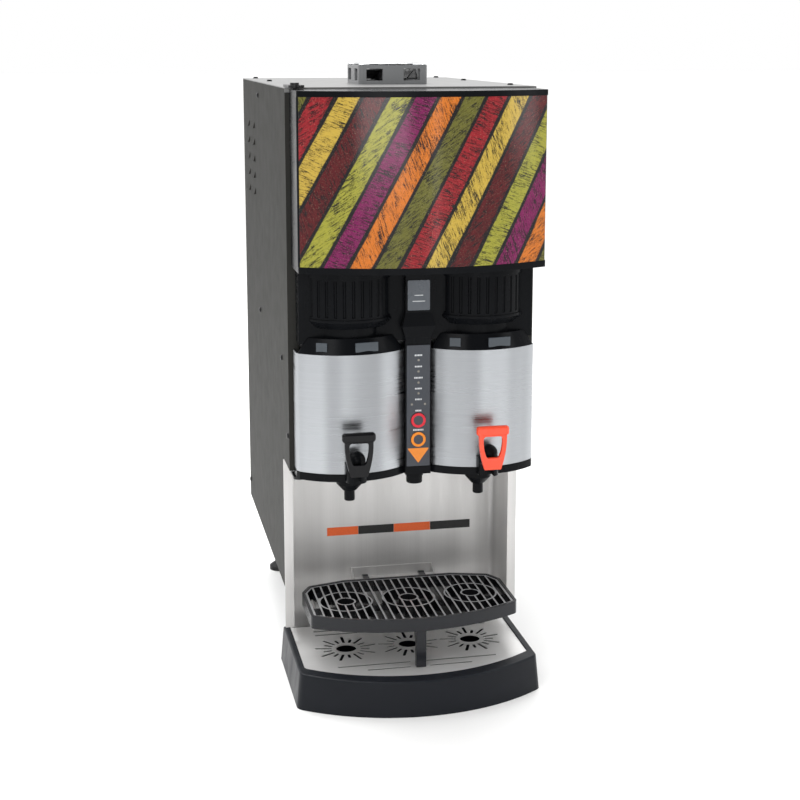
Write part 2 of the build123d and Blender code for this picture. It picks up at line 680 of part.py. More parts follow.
def power_gland():
    """Strain-relief gland for the supply cord."""
    z = FLOOR_Z
    gland = rod(8, (GLAND_X, SERVICE_Y, z), (GLAND_X, SERVICE_Y, z + 2 * SHEET))
    gland += Pos(GLAND_X, SERVICE_Y, z - 6) * extrude(RegularPolygon(13, 6), amount=7.2)
    gland += cone(9, 12, (GLAND_X, SERVICE_Y, z - 16), (GLAND_X, SERVICE_Y, z - 6))
    gland += Pos(GLAND_X, SERVICE_Y, z + 2 * SHEET) * extrude(RegularPolygon(12, 6), amount=5)
    gland -= rod(5, (GLAND_X, SERVICE_Y, z - 17), (GLAND_X, SERVICE_Y, z + 9))
    return gland


def dispense_valve():
    """Solenoid valve between the tank and the manifold hose."""
    y0 = BULKHEAD_Y + 26
    valve = block(-14, 14, y0, y0 + 24, 344, 372)
    valve += rod(14, (0, y0 + 12, 372), (0, y0 + 12, 402))
    return valve


# ---------------------------------------------------------------- electrics

def control_board():
    """Main circuit board on standoffs, with relays and connectors."""
    y = BULKHEAD_Y + SHEET
    board = block(20, 140, y + 8, y + 9.6, 520, 700)
    for x in (28, 132):
        for z in (528, 692):
            board += rod(3, (x, y, z), (x, y + 8.5, z))
    for row in range(4):
        board += block(30, 58, y + 9, y + 24, 545 + 34 * row, 560 + 34 * row)
        board += block(100, 116, y + 9, y + 17, 545 + 34 * row, 567 + 34 * row)
    board += block(70, 88, y + 9, y + 12, 590, 608)
    return board


def transformer():
    """Laminated transformer on its feet."""
    z = FLOOR_Z + 2 * SHEET
    core = block(62, 138, 100, 156, z, z + 60)
    core += block(72, 128, 88, 168, z + 14, z + 46)
    core += block(56, 144, 108, 148, z, z + 3)
    return core


def wiring_harness():
    """Bundle of wires from the transformer up to the control board."""
    y = BULKHEAD_Y + 16
    return tube_along([(100, 112, 186), (100, 112, 230), (120, y, 330), (120, y, 516)], 30, 4.5)


# ---------------------------------------------------------------- door

TRIM_EXTRA = 0.3


def half_drum_face(extra):
    """Plan of the right-hand drum bulge, from spine to outer side."""
    radius = DRUM_R + extra
    outer_x = DRUM_OUTER_X + extra
    inner_x = SPINE_HALF
    run_inner = sqrt(radius ** 2 - (HEAD_X - inner_x) ** 2)
    corner_x = outer_x - 3.0
    run_outer = sqrt(radius ** 2 - (corner_x - HEAD_X) ** 2)
    inner = (inner_x, DRUM_CENTRE_Y - run_inner)
    outer = (corner_x, DRUM_CENTRE_Y - run_outer)
    side = (outer_x, outer[1] + 6.0)
    edges = [
        Line((inner_x, DOOR_BACK_Y), inner),
        ThreePointArc(inner, (HEAD_X, DRUM_CENTRE_Y - radius), outer),
        Line(outer, side),
        Line(side, (outer_x, DOOR_BACK_Y)),
        Line((outer_x, DOOR_BACK_Y), (inner_x, DOOR_BACK_Y)),
    ]
    return make_face(edges)


def lower_plan(extra):
    """Plan of the whole lower door: two drum bulges and the spine between them."""
    drum = half_drum_face(extra)
    front_y = SPINE_Y - min(extra, 0)
    width = 2 * (SPINE_HALF + min(extra, 0))
    column = Pos(0, (front_y + DOOR_BACK_Y) / 2) * Rectangle(width, DOOR_BACK_Y - front_y)
    return drum + mirror(drum, about=Plane.YZ) + column


def drum_skin():
    """Brushed steel wrap of the right-hand drum, with the tap's hole."""
    gap = 0.1
    skin = prism(half_drum_face(0) - half_drum_face(-SHEET), DRUM_BOTTOM_Z + gap, DRUM_TOP_Z - gap)
    skin -= block(0, SPINE_HALF + 0.2, DOOR_BACK_Y - 60, DOOR_BACK_Y + 5, DRUM_BOTTOM_Z, DRUM_TOP_Z)
    skin -= block(0, 200, DOOR_BACK_Y - 0.6, DOOR_BACK_Y + 5, DRUM_BOTTOM_Z, DRUM_TOP_Z)
    skin -= rod(8.2, (HEAD_X, -270, 320), (HEAD_X, -240, 320))
    return skin


def crown():
    """Upper hood that carries the graphic, open at the back."""
    outer = bowed_face(CROWN_HALF, DOOR_BACK_Y, CROWN_CORNER_Y, CROWN_MIDDLE_Y, 5)
    inner = bowed_face(CROWN_HALF - DOOR_WALL, DOOR_BACK_Y + 5, CROWN_CORNER_Y + DOOR_WALL,
                       CROWN_MIDDLE_Y + DOOR_WALL, 3)
    hood = prism(outer, CROWN_BOTTOM_Z, DOOR_TOP_Z)
    hood -= prism(inner, CROWN_BOTTOM_Z + DOOR_WALL, DOOR_TOP_Z - DOOR_WALL)
    rim_corner_y = CROWN_CORNER_Y - GRAPHIC_THICK
    rim_middle_y = CROWN_MIDDLE_Y - GRAPHIC_THICK
    rim = bowed_face(CROWN_HALF, DOOR_BACK_Y, rim_corner_y, rim_middle_y, 5)
    hood += prism(rim - inner, GRAPHIC_TOP_Z, DOOR_TOP_Z)
    hood += prism(rim - inner, CROWN_BOTTOM_Z, GRAPHIC_BOTTOM_Z)
    return hood


def graphic_panel():
    """Bowed display sheet on the crown's front."""
    outer = bowed_face(CROWN_HALF - 0.8, DOOR_BACK_Y, CROWN_CORNER_Y - GRAPHIC_THICK,
                       CROWN_MIDDLE_Y - GRAPHIC_THICK, 4)
    inner = bowed_face(CROWN_HALF + 5, DOOR_BACK_Y + 5, CROWN_CORNER_Y, CROWN_MIDDLE_Y)
    return prism(outer - inner, GRAPHIC_BOTTOM_Z + 0.1, GRAPHIC_TOP_Z - 0.1)


FUNNEL_R = 62.0
FUNNEL_Y = -190.0
FUNNEL_BOTTOM_Z = 503.0
FUNNEL_TOP_Z = 566.0
COLLAR_BOTTOM_Z = 491.0
NECK_R = 49.0
LID_TOP_Z = 479.0
RIB_PITCH_DEG = 10.5


def funnel_profile():
    """Fluted bin front above the right-hand drum with its collar and neck."""
    centre = (HEAD_X, FUNNEL_Y)
    body = rod(FUNNEL_R, (*centre, FUNNEL_BOTTOM_Z), (*centre, FUNNEL_TOP_Z))
    for step in range(-8, 9):
        angle = radians(RIB_PITCH_DEG * step)
        x = HEAD_X + FUNNEL_R * sin(angle)
        y = FUNNEL_Y - FUNNEL_R * cos(angle)
        flute = rod(2.0, (x, y, FUNNEL_BOTTOM_Z + 3), (x, y, FUNNEL_TOP_Z - 14))
        body -= flute
    body += rod(FUNNEL_R + 1.5, (*centre, FUNNEL_TOP_Z - 12), (*centre, FUNNEL_TOP_Z + 1))
    body += rod(FUNNEL_R + 1.5, (*centre, FUNNEL_BOTTOM_Z - 3), (*centre, FUNNEL_BOTTOM_Z))
    body += cone(FUNNEL_R - 6, FUNNEL_R + 1.5, (*centre, COLLAR_BOTTOM_Z), (*centre, FUNNEL_BOTTOM_Z - 3))
    body += rod(NECK_R, (*centre, LID_TOP_Z - 8), (*centre, COLLAR_BOTTOM_Z))
    return body


def funnel_hollow():
    """Inside of the fluted bin front."""
    centre = (HEAD_X, FUNNEL_Y)
    inside = rod(FUNNEL_R - 5.0, (*centre, FUNNEL_BOTTOM_Z), (*centre, FUNNEL_TOP_Z - 5))
    inside += rod(NECK_R - DOOR_WALL, (*centre, LID_TOP_Z - 4), (*centre, FUNNEL_BOTTOM_Z + 2))
    return inside


def spine():
    """Centre column behind the controls, with the flared block under the label."""
    column = block(-SPINE_HALF, SPINE_HALF, SPINE_Y, DOOR_BACK_Y, DOOR_BOTTOM_Z, 476)
    column += block(-SPINE_HALF, SPINE_HALF, SPINE_Y - 2, DOOR_BACK_Y, 508, CROWN_BOTTOM_Z + 1)
    upper = Pos(0, 0, 508) * Plane.XY * flared_face(SPINE_HALF, SPINE_Y - 2)
    lower = Pos(0, 0, 491) * Plane.XY * flared_face(SPINE_HALF + 5, SPINE_Y - 6)
    foot = Pos(0, 0, 475) * Plane.XY * flared_face(SPINE_HALF, SPINE_Y)
    column += loft([lower, upper], ruled=True)
    column += loft([foot, lower], ruled=True)
    return column


def flared_face(half_width, front_y):
    """Rectangle from the door's back to a front line."""
    middle = (front_y + DOOR_BACK_Y) / 2
    return Pos(0, middle) * Rectangle(2 * half_width, DOOR_BACK_Y - front_y)


def waist():
    """Side walls and front wall of the door between crown and drums."""
    wall = block(-150, 150, -226, DOOR_BACK_Y, LID_TOP_Z - 8, CROWN_BOTTOM_Z + 1)
    return wall


def door_shell():
    """Moulded door: crown, waist with fluted bins, spine and lower trim tray, hollow behind."""
    solid = waist()
    for half in mirrored(funnel_profile()):
        solid += half
    solid += spine()
    solid += prism(lower_plan(TRIM_EXTRA), DOOR_BOTTOM_Z, DRUM_BOTTOM_Z)
    inner_low = lower_plan(-SHEET - FIT_GAP)
    solid += prism(inner_low, DRUM_BOTTOM_Z - 1, DRUM_TOP_Z)
    solid += prism(lower_plan(-14), DRUM_TOP_Z - 1, LID_TOP_Z - 7)
    hollow = block(-148, 148, -223.5, DOOR_BACK_Y + 5, LID_TOP_Z - 5, CROWN_BOTTOM_Z - 1.5)
    for half in mirrored(funnel_hollow()):
        hollow += half
    hollow += prism(lower_plan(-SHEET - DOOR_WALL), DOOR_BOTTOM_Z + DOOR_WALL, LID_TOP_Z - 10)
    hollow += block(-DRUM_OUTER_X + 4, DRUM_OUTER_X - 4, DOOR_BACK_Y - 20, DOOR_BACK_Y + 5,
                    DOOR_BOTTOM_Z + DOOR_WALL, LID_TOP_Z - 10)
    keep_in_back = block(-200, 200, DOOR_BACK_Y, DOOR_BACK_Y + 200, 0, 1000)
    solid = solid - hollow - keep_in_back
    solid += crown()
    for z0, z1 in ((DOOR_BOTTOM_Z, DRUM_BOTTOM_Z), (DOOR_TOP_Z - 16, DOOR_TOP_Z)):
        boss = rod(7.5, (HINGE_X + 4, HINGE_Y - 3, z0), (HINGE_X + 4, HINGE_Y - 3, z1))
        solid += boss & block(-CROWN_HALF, 0, -260, DOOR_BACK_Y, z0, z1)
    return door_cuts(solid)


def door_cuts(solid):
    """Holes through the door for hinge pins, taps, bowls, nozzle and buttons."""
    pin_r = HINGE_PIN_R + RUNNING_CLEARANCE
    for z in (DOOR_BOTTOM_Z, DOOR_TOP_Z):
        solid -= rod(pin_r, (HINGE_X, HINGE_Y, z - 13), (HINGE_X, HINGE_Y, z + 13))
    for side in SIDES:
        x = side * HEAD_X
        solid -= rod(8.2, (x, -275, 320), (x, SPOUT_Y, 320))
        solid -= rod(12.1, (x, SPOUT_Y, DOOR_BOTTOM_Z - 5), (x, SPOUT_Y, DOOR_BOTTOM_Z + 10))
    solid -= rod(8.1, (0, SPOUT_Y, DOOR_BOTTOM_Z - 5), (0, SPOUT_Y, DOOR_BOTTOM_Z + 10))
    for z in BUTTONS.values():
        solid -= rod(6.0, (0, SPINE_Y - 3, z), (0, SPINE_Y + 6, z))
    corner = block(-200, -CROWN_HALF + 2.2, DOOR_BACK_Y - 2.2, DOOR_BACK_Y + 5, 0, 1000)
    return solid - corner


def drum_lid():
    """Sloped black cap of the right-hand drum with two raised tabs."""
    base = Pos(0, 0, DRUM_TOP_Z) * half_drum_face(0)
    upper = Pos(0, 0, LID_TOP_Z) * half_drum_face(-9)
    cap = loft([base, upper], ruled=True)
    cap -= prism(half_drum_face(-13.6), DRUM_TOP_Z - 1, LID_TOP_Z + 1)
    cap -= block(0, SPINE_HALF + 4.2, -300, 0, DRUM_TOP_Z - 1, LID_TOP_Z + 1)
    cap -= block(0, 200, DOOR_BACK_Y - 27, 0, DRUM_TOP_Z - 1, LID_TOP_Z + 1)
    return cap


def drum_lids():
    """Both caps, with a seat for each tab."""
    lids = []
    for lid in mirrored(drum_lid()):
        for tab in lid_tabs():
            lid -= tab
        lids.append(lid)
    return lids


def lid_tabs():
    """Grey latch tabs on the drum lids."""
    tabs = []
    for side in SIDES:
        for angle, width in ((-24, 14), (10, 30)):
            turn = radians(angle)
            x = side * HEAD_X + (DRUM_R - 3.5) * sin(turn)
            y = DRUM_CENTRE_Y - (DRUM_R - 3.5) * cos(turn)
            tabs.append(Pos(x, y, DRUM_TOP_Z + 9) * Rot(0, 0, angle) * Box(width, 3, 12))
    return tabs


BOWL_TOP_Z = 314.0


def mixing_bowl():
    """Open mixing funnel with its shroud and outlet nozzle."""
    x, y = HEAD_X, SPOUT_Y
    lip = 12.0
    bowl = rod(lip, (x, y, 284), (x, y, BOWL_TOP_Z))
    bowl += rod(17, (x, y, 285), (x, y, DOOR_BOTTOM_Z))
    bowl += cone(9, 17, (x, y, 276), (x, y, 285))
    bowl += rod(6.8, (x, y, 262), (x, y, 277))
    bowl -= cone(4.5, lip - 1.5, (x, y, 284), (x, y, BOWL_TOP_Z + 0.1))
    bowl -= rod(4.5, (x, y, 261), (x, y, 285))
    return fillet(bowl.edges().group_by(Axis.Z)[0].sort_by(SortBy.RADIUS)[-1], 1.2)


def hot_water_nozzle():
    """Centre nozzle under the spine."""
    y = SPOUT_Y
    nozzle = rod(8, (0, y, 290), (0, y, BOWL_TOP_Z))
    nozzle += rod(11.5, (0, y, 291), (0, y, DOOR_BOTTOM_Z))
    nozzle += rod(10.4, (0, y, 281), (0, y, 292))
    nozzle = fillet(nozzle.edges().group_by(Axis.Z)[0], 1.5)
    return nozzle - rod(6, (0, y, 280), (0, y, BOWL_TOP_Z + 1))


def tap_body():
    """Tap barrel in front of the drum, with a domed bonnet and a slot for the handle's tongue."""
    x = HEAD_X
    front = DRUM_CENTRE_Y - DRUM_R
    body = rod(13, (x, TAP_Y, 301), (x, TAP_Y, 322))
    body += cone(13, 11.5, (x, TAP_Y, 322), (x, TAP_Y, 328))
    body += block(x - 13, x + 13, TAP_Y, front + 6, 301, 324)
    dome = Pos(x, TAP_Y - 2, 329) * Sphere(11.5)
    body += dome & block(x - 12, x + 12, TAP_Y - 14, front + 6, 328, 345)
    body += rod(11.5, (x, TAP_Y, 327), (x, TAP_Y, 330))
    body -= rod(DRUM_R + TRIM_EXTRA + 0.15, (x, DRUM_CENTRE_Y, 290), (x, DRUM_CENTRE_Y, 350))
    body += rod(8, (x, front - 3, 320), (x, -226, 320))
    body -= block(x - 4.4, x + 4.4, TAP_PIVOT_Y - 10, TAP_PIVOT_Y + 8, 300, 327)
    pin_r = TAP_PIN_R + 0.02
    return body - rod(pin_r, (x - 15, TAP_PIVOT_Y, TAP_PIVOT_Z), (x + 15, TAP_PIVOT_Y, TAP_PIVOT_Z))


def tap_pin():
    """Cross pin of the tap."""
    start = (HEAD_X - 11.5, TAP_PIVOT_Y, TAP_PIVOT_Z)
    return rod(TAP_PIN_R, start, (HEAD_X + 11.5, TAP_PIVOT_Y, TAP_PIVOT_Z))


HANDLE_Y = -287.0
HANDLE_Z = 313.0


def loop_face(right_side):
    """Flat outline from (half width, height) points down the right-hand side, mirrored."""
    left_side = [(-x, z) for x, z in reversed(right_side)]
    return make_face([
        Line(left_side[-1], right_side[0]),
        Spline(*right_side),
        Line(right_side[-1], left_side[0]),
        Spline(*left_side),
    ])


def tap_handle():
    """D-shaped pull with a thick top bar and a tongue that pivots in the tap."""
    x = HEAD_X
    outline = loop_face(((17.4, 50), (17.6, 34), (15.2, 17), (10.5, 0)))
    opening = fillet(loop_face(((12.0, 43), (12.2, 34), (10.8, 24), (7.6, 15))).vertices(), 3.5)
    face_plane = Plane(origin=(x, HANDLE_Y + 5, HANDLE_Z), x_dir=(1, 0, 0), z_dir=(0, -1, 0))
    plate = extrude(face_plane * (outline - opening), amount=5)
    bar = Pos(x, HANDLE_Y + 3, HANDLE_Z + 50) * Box(42, 9, 12)
    bar = fillet(bar.edges().filter_by(Axis.X), 3)
    bar = fillet(bar.edges().filter_by(Axis.Y), 4)
    tongue = block(x - 4, x + 4, HANDLE_Y + 4, TAP_PIVOT_Y, HANDLE_Z, HANDLE_Z + 10)
    tongue += rod(5, (x - 4, TAP_PIVOT_Y, TAP_PIVOT_Z), (x + 4, TAP_PIVOT_Y, TAP_PIVOT_Z))
    lever = plate + bar + tongue
    pin_r = TAP_PIN_R + RUNNING_CLEARANCE
    return lever - rod(pin_r, (x - 9, TAP_PIVOT_Y, TAP_PIVOT_Z), (x + 9, TAP_PIVOT_Y, TAP_PIVOT_Z))


CONTROL_BOTTOM_Z = 309.0
CONTROL_TOP_Z = 466.0
OVERLAY = 1.4
BUTTONS = {"stop_button": 369.0, "hot_water_button": 344.0}
BUTTON_R = 9.5
LIGHT_ROWS = (447.0, 432.5, 418.0, 404.0)
LIGHT_PAIR_Z = 390.0


def light_places():
    """Centres of the indicator lights on the control strip."""
    single = [(0.0, z) for z in LIGHT_ROWS]
    return single + [(-8.5, LIGHT_PAIR_Z), (8.5, LIGHT_PAIR_Z)]


def control_panel():
    """Control strip with seats for the lights and the two push buttons."""
    strip = block(-15, 15, SPINE_Y - OVERLAY, SPINE_Y, CONTROL_BOTTOM_Z, CONTROL_TOP_Z)
    for x, z in light_places():
        strip -= rod(1.55, (x, SPINE_Y - 5, z), (x, SPINE_Y + 5, z))
    for z in BUTTONS.values():
        strip -= rod(BUTTON_R + 0.4, (0, SPINE_Y - 5, z), (0, SPINE_Y + 5, z))
    return strip


def button(z):
    """Push button: round cap with a raised ring and a short stem."""
    cap = rod(BUTTON_R, (0, SPINE_Y - 2.2, z), (0, SPINE_Y - 1.0, z))
    ring = rod(BUTTON_R, (0, SPINE_Y - 2.6, z), (0, SPINE_Y - 2.0, z))
    ring -= rod(6.2, (0, SPINE_Y - 4, z), (0, SPINE_Y - 1, z))
    return cap + ring + rod(3, (0, SPINE_Y - 1.5, z), (0, SPINE_Y + 4, z))


def indicator_lights():
    """Small round light lenses."""
    return [rod(1.5, (x, SPINE_Y - OVERLAY - 0.5, z), (x, SPINE_Y, z)) for x, z in light_places()]


def label_plate():
    """Blank name plate above the controls."""
    y = SPINE_Y - 2
    plate = block(-14.2, 14.2, y - 1.2, y, 511, 549)
    return fillet(plate.edges().filter_by(Axis.Y), 1.5)


def tap_switch():
    """Small lever switch beside the tap's shank, inside the drum."""
    x = HEAD_X + 17
    switch = block(x, x + 20, -236, -229, 326, 337)
    return switch + block(x - 6, x + 6, -233, -232, 337, 338)


# ---------------------------------------------------------------- cup tray

TRAY_HALF = 138.0
TRAY_WALL = 4.0
LEDGE_WIDTH = 3.0
LEDGE_TOP_Z = TRAY_BOTTOM_Z + 8.0
RIB_HALF = 2.5
GRILLE_GAP = 0.3
BAR_PITCH = 11.0
BAR_WIDTH = 2.4
RING_R = 36.0
HUB_R = 13.5
LUG_X = 40.0


def tray_face():
    """Plan of the cup tray: angled rear corners and a bowed front."""
    edges = [
        Line((-75, -99), (75, -99)),
        Line((75, -99), (126, -113)),
        Line((126, -113), (TRAY_HALF, -136)),
        Line((TRAY_HALF, -136), (TRAY_HALF, -222)),
        ThreePointArc((TRAY_HALF, -222), (0, -260), (-TRAY_HALF, -222)),
        Line((-TRAY_HALF, -222), (-TRAY_HALF, -136)),
        Line((-TRAY_HALF, -136), (-126, -113)),
        Line((-126, -113), (-75, -99)),
    ]
    return fillet(make_face(edges).vertices(), 9)


def cup_tray_frame():
    """Tray rim with an inner ledge, cross ribs, centre leg and hinge lugs."""
    outer = tray_face()
    inner = offset(outer, amount=-TRAY_WALL)
    ledge = offset(outer, amount=-TRAY_WALL - LEDGE_WIDTH)
    frame = prism(outer - inner, TRAY_BOTTOM_Z, TRAY_TOP_Z)
    frame += prism(inner - ledge, TRAY_BOTTOM_Z, LEDGE_TOP_Z)
    front_rib_y = TARGET_Y - RIB_HALF
    back_rib_y = TARGET_Y + RIB_HALF
    rib = block(-RIB_HALF, RIB_HALF, -257, -101, TRAY_BOTTOM_Z, LEDGE_TOP_Z)
    rib += block(-TRAY_HALF, TRAY_HALF, front_rib_y, back_rib_y, TRAY_BOTTOM_Z, LEDGE_TOP_Z)
    frame += rib & prism(inner, TRAY_BOTTOM_Z, TRAY_TOP_Z)
    foot = DRIP_COVER_Z + 0.5
    frame += block(-6.5, 6.5, -258.5, -251, foot, TRAY_BOTTOM_Z + 1)
    fin = [(-252, foot), (-252, TRAY_BOTTOM_Z + 1), (-215, TRAY_BOTTOM_Z + 1), (-240, foot)]
    frame += side_prism(fin, -2, 2)
    for side in SIDES:
        x = side * LUG_X
        frame += block(x - 4, x + 4, -101, TRAY_PIVOT_Y, TRAY_PIVOT_Z - 5, TRAY_PIVOT_Z + 5)
        frame += rod(6, (x - 4, TRAY_PIVOT_Y, TRAY_PIVOT_Z), (x + 4, TRAY_PIVOT_Y, TRAY_PIVOT_Z))
        bore_r = TRAY_ROD_R + 0.08
        frame -= rod(bore_r, (x - 9, TRAY_PIVOT_Y, TRAY_PIVOT_Z), (x + 9, TRAY_PIVOT_Y, TRAY_PIVOT_Z))
    return frame


def target_places():
    """Cup positions under the three outlets."""
    return [(x, TARGET_Y) for x in (-HEAD_X, 0, HEAD_X)]


def cup_tray_grille():
    """Lift-out grille: deep bars from back to front and two rings at each cup position."""
    inside = offset(tray_face(), amount=-TRAY_WALL - GRILLE_GAP)
    plan = inside - offset(inside, amount=-BAR_WIDTH)
    count = int(TRAY_HALF / BAR_PITCH)
    for step in range(-count, count + 1):
        plan += Pos(step * BAR_PITCH, TARGET_Y) * Rectangle(BAR_WIDTH, 200)
    for place in target_places():
        plan += Pos(*place) * (Circle(RING_R) - Circle(RING_R - BAR_WIDTH))
        plan += Pos(*place) * Circle(HUB_R)
        plan -= Pos(*place) * Circle(HUB_R - BAR_WIDTH)
    above_ledge = prism(plan & inside, LEDGE_TOP_Z, TRAY_TOP_Z - 1)
    within_ledge = plan & offset(inside, amount=-LEDGE_WIDTH)
    hanging = prism(within_ledge, TRAY_BOTTOM_Z + 1, LEDGE_TOP_Z)
    clear = RIB_HALF + GRILLE_GAP
    hanging -= block(-clear, clear, -300, DRIP_BACK_Y, TRAY_BOTTOM_Z, LEDGE_TOP_Z)
    hanging -= block(-TRAY_HALF, TRAY_HALF, TARGET_Y - clear, TARGET_Y + clear, TRAY_BOTTOM_Z, LEDGE_TOP_Z)
    return above_ledge + hanging


# ---------------------------------------------------------------- drip tray

DRIP_BACK_Y = -87.0
DRIP_FLARE = 4.3
RIM_ROUND = 3.0


def is_outer_rim(edge):
    """True for the rim's outside edges at the sides and the front."""
    middle = edge @ 0.5
    return abs(middle.X) > COVER_HALF + 2 or middle.Y < COVER_FRONT_Y - 2


def drip_tray():
    """Counter-level basin with flared walls, a broad bowed rim and a ledge for its cover."""
    half = HALF - 2.7
    foot = bowed_face(half + DRIP_FLARE, DRIP_BACK_Y, -254, FRONT_Y, 14)
    rim = bowed_face(half, DRIP_BACK_Y, -252, FRONT_Y + 3, 14)
    basin = loft([foot, Pos(0, 0, DRIP_RIM_Z) * rim], ruled=True)
    mouth = bowed_face(149, DRIP_BACK_Y - 4, -236, -286, 8)
    well = bowed_face(143, DRIP_BACK_Y - 9, -231, -280, 8)
    basin -= prism(mouth, DRIP_COVER_Z - SHEET, DRIP_RIM_Z + 1)
    basin -= prism(well, 5, DRIP_RIM_Z + 1)
    basin -= block(-149, 149, DRIP_BACK_Y - 10, DRIP_BACK_Y + 5, DRIP_COVER_Z - SHEET, DRIP_RIM_Z + 1)
    rim_edges = basin.faces().sort_by(Axis.Z)[-1].outer_wire().edges()
    outside = [edge for edge in rim_edges if is_outer_rim(edge)]
    return fillet(outside, RIM_ROUND)


COVER_HALF = 148.6
COVER_CORNER_Y = -235.7
COVER_FRONT_Y = -285.6
RAYS = 18
RAY_START = 19.0
RAY_ENDS = (42.0, 32.0)
RAY_WIDTH = 4.2
DRAIN_SLOT_WIDTH = 4.2
DRAIN_SLOTS = (
    (57.5, -236.5, 97.0),
    (41.0, -252.5, 58.0),
    (90.0, -125.0, 60.0),
    (99.0, -111.0, 42.0),
)


def ray_slot(place, angle, start, end, width):
    """Rounded slot pointing away from a cup position."""
    middle = (start + end) / 2
    return Pos(*place) * Rot(0, 0, angle) * Pos(middle, 0) * SlotOverall(end - start, width)


def drip_tray_cover():
    """Brushed steel grid with a drain hole and rays at each cup position."""
    face = bowed_face(COVER_HALF, DRIP_BACK_Y - 4.4, COVER_CORNER_Y, COVER_FRONT_Y, 8)
    for place in target_places():
        face -= Pos(*place) * Ellipse(13.5, 12)
        for ray in range(RAYS):
            reach = RAY_ENDS[ray % 2]
            face -= ray_slot(place, 360 / RAYS * (ray + 0.5), RAY_START, reach, RAY_WIDTH)
    for middle_x, middle_y, length in DRAIN_SLOTS:
        for side in SIDES:
            slot = SlotOverall(length, DRAIN_SLOT_WIDTH)
            face -= Pos(side * middle_x, middle_y) * slot
    return prism(face, DRIP_COVER_Z - SHEET, DRIP_COVER_Z)


# ---------------------------------------------------------------- write every node

def write_cabinet():
    """Fixed case, stand and splash."""
    right = drilled(right_side_panel(), side_screw_lines() + top_screw_lines() + back_screw_lines())
    left = drilled(mirror(right_side_panel(), about=Plane.YZ),
                   side_screw_lines() + top_screw_lines() + back_screw_lines())
    save("right_side_panel", right)
    save("left_side_panel", left)
    save("rear_panel", rear_panel())
    save("top_cover_front", top_cover_front())
    save("top_cover_rear", top_cover_rear())
    save("cabinet_floor", cabinet_floor())
    save("head_deck", head_deck())
    save("inner_bulkhead", inner_bulkhead())
    save("product_shelf", product_shelf())
    save("splash_panel", splash_panel())
    save("tray_hanger", tray_hanger())
    save("cabinet_legs", *cabinet_legs())
    save("leveling_feet", *leveling_feet())
    save("hinge_brackets", *hinge_brackets())
    save("case_screws", *case_screws())
    save("fan_frame", fan_frame())
    save("fan_rotor", fan_rotor())
    save("fan_guard", *fan_guard())


def write_insides():
    """Product, water and electrical parts."""
    save("product_containers", *mirrored(product_container()))
    save("container_caps", *mirrored(container_cap()))
    save("pump_housings", *mirrored(pump_housing()))
    save("pump_motors", *mirrored(pump_motor()))
    save("left_pump_rotor", pump_rotor(-HEAD_X))
    save("right_pump_rotor", pump_rotor(HEAD_X))
    save("product_tubes", *[half for piece in product_tube() for half in mirrored(piece)])
    save("water_manifold", water_manifold())
    save("tank_bracket", tank_bracket())
    save("tank_shell", tank_shell())
    save("tank_gasket", tank_gasket())
    save("tank_lid", tank_lid())
    save("heating_element", heating_element())
    save("tank_probes", *tank_probes())
    save("inlet_valve", inlet_valve())
    save("inlet_fitting", inlet_fitting())
    save("dispense_valve", dispense_valve())
    save("power_gland", power_gland())
    save("control_board", control_board())
    save("transformer", transformer())
    save("wiring_harness", wiring_harness())


def write_door():
    """Door, taps and controls."""
    save("door_shell", door_shell())
    save("graphic_panel", graphic_panel())
    save("right_drum_skin", drum_skin())
    save("left_drum_skin", mirror(drum_skin(), about=Plane.YZ))
    save("drum_lids", *drum_lids())
    save("lid_tabs", *lid_tabs())
    save("mixing_bowls", *mirrored(mixing_bowl()))
    save("hot_water_nozzle", hot_water_nozzle())
    save("tap_bodies", *mirrored(tap_body()), *mirrored(tap_pin()))
    save("right_tap_handle", tap_handle())
    save("left_tap_handle", mirror(tap_handle(), about=Plane.YZ))
    save("control_panel", control_panel())
    save("indicator_lights", *indicator_lights())
    save("label_plate", label_plate())
    save("tap_switches", *mirrored(tap_switch()))
    for node, z in BUTTONS.items():
        save(node, button(z))


def write_trays():
    """Cup tray and drip tray."""
    save("cup_tray_frame", cup_tray_frame())
    save("cup_tray_grille", cup_tray_grille())
    save("drip_tray", drip_tray())
    save("drip_tray_cover", drip_tray_cover())


os.makedirs("parts", exist_ok=True)
write_cabinet()
write_insides()
write_door()
write_trays()
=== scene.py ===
"""Look of the two-head liquid coffee and hot water dispenser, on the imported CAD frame."""

import json
import math

import bmesh
import bpy
from mathutils import Matrix, Vector


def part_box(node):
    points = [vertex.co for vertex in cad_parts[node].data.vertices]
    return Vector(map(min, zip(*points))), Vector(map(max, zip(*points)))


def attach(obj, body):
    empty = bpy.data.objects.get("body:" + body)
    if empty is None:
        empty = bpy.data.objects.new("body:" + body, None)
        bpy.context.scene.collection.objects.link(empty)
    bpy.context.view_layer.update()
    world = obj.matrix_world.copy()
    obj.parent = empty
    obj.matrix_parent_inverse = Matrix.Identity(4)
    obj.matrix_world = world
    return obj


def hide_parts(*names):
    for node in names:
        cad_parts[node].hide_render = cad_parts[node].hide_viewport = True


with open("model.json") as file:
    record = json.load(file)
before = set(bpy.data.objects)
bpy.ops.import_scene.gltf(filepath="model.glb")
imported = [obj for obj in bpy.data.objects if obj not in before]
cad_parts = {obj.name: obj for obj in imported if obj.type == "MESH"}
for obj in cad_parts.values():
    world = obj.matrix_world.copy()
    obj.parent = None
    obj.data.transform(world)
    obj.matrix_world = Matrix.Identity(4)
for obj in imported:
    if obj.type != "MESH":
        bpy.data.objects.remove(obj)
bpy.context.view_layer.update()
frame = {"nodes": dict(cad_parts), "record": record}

NODES = frame["nodes"]
SLOT_OF = {part["node"]: part["material_slot"] for part in frame["record"]["subparts"]}
MM = 0.001


# ------------------------------------------------------------------ camera

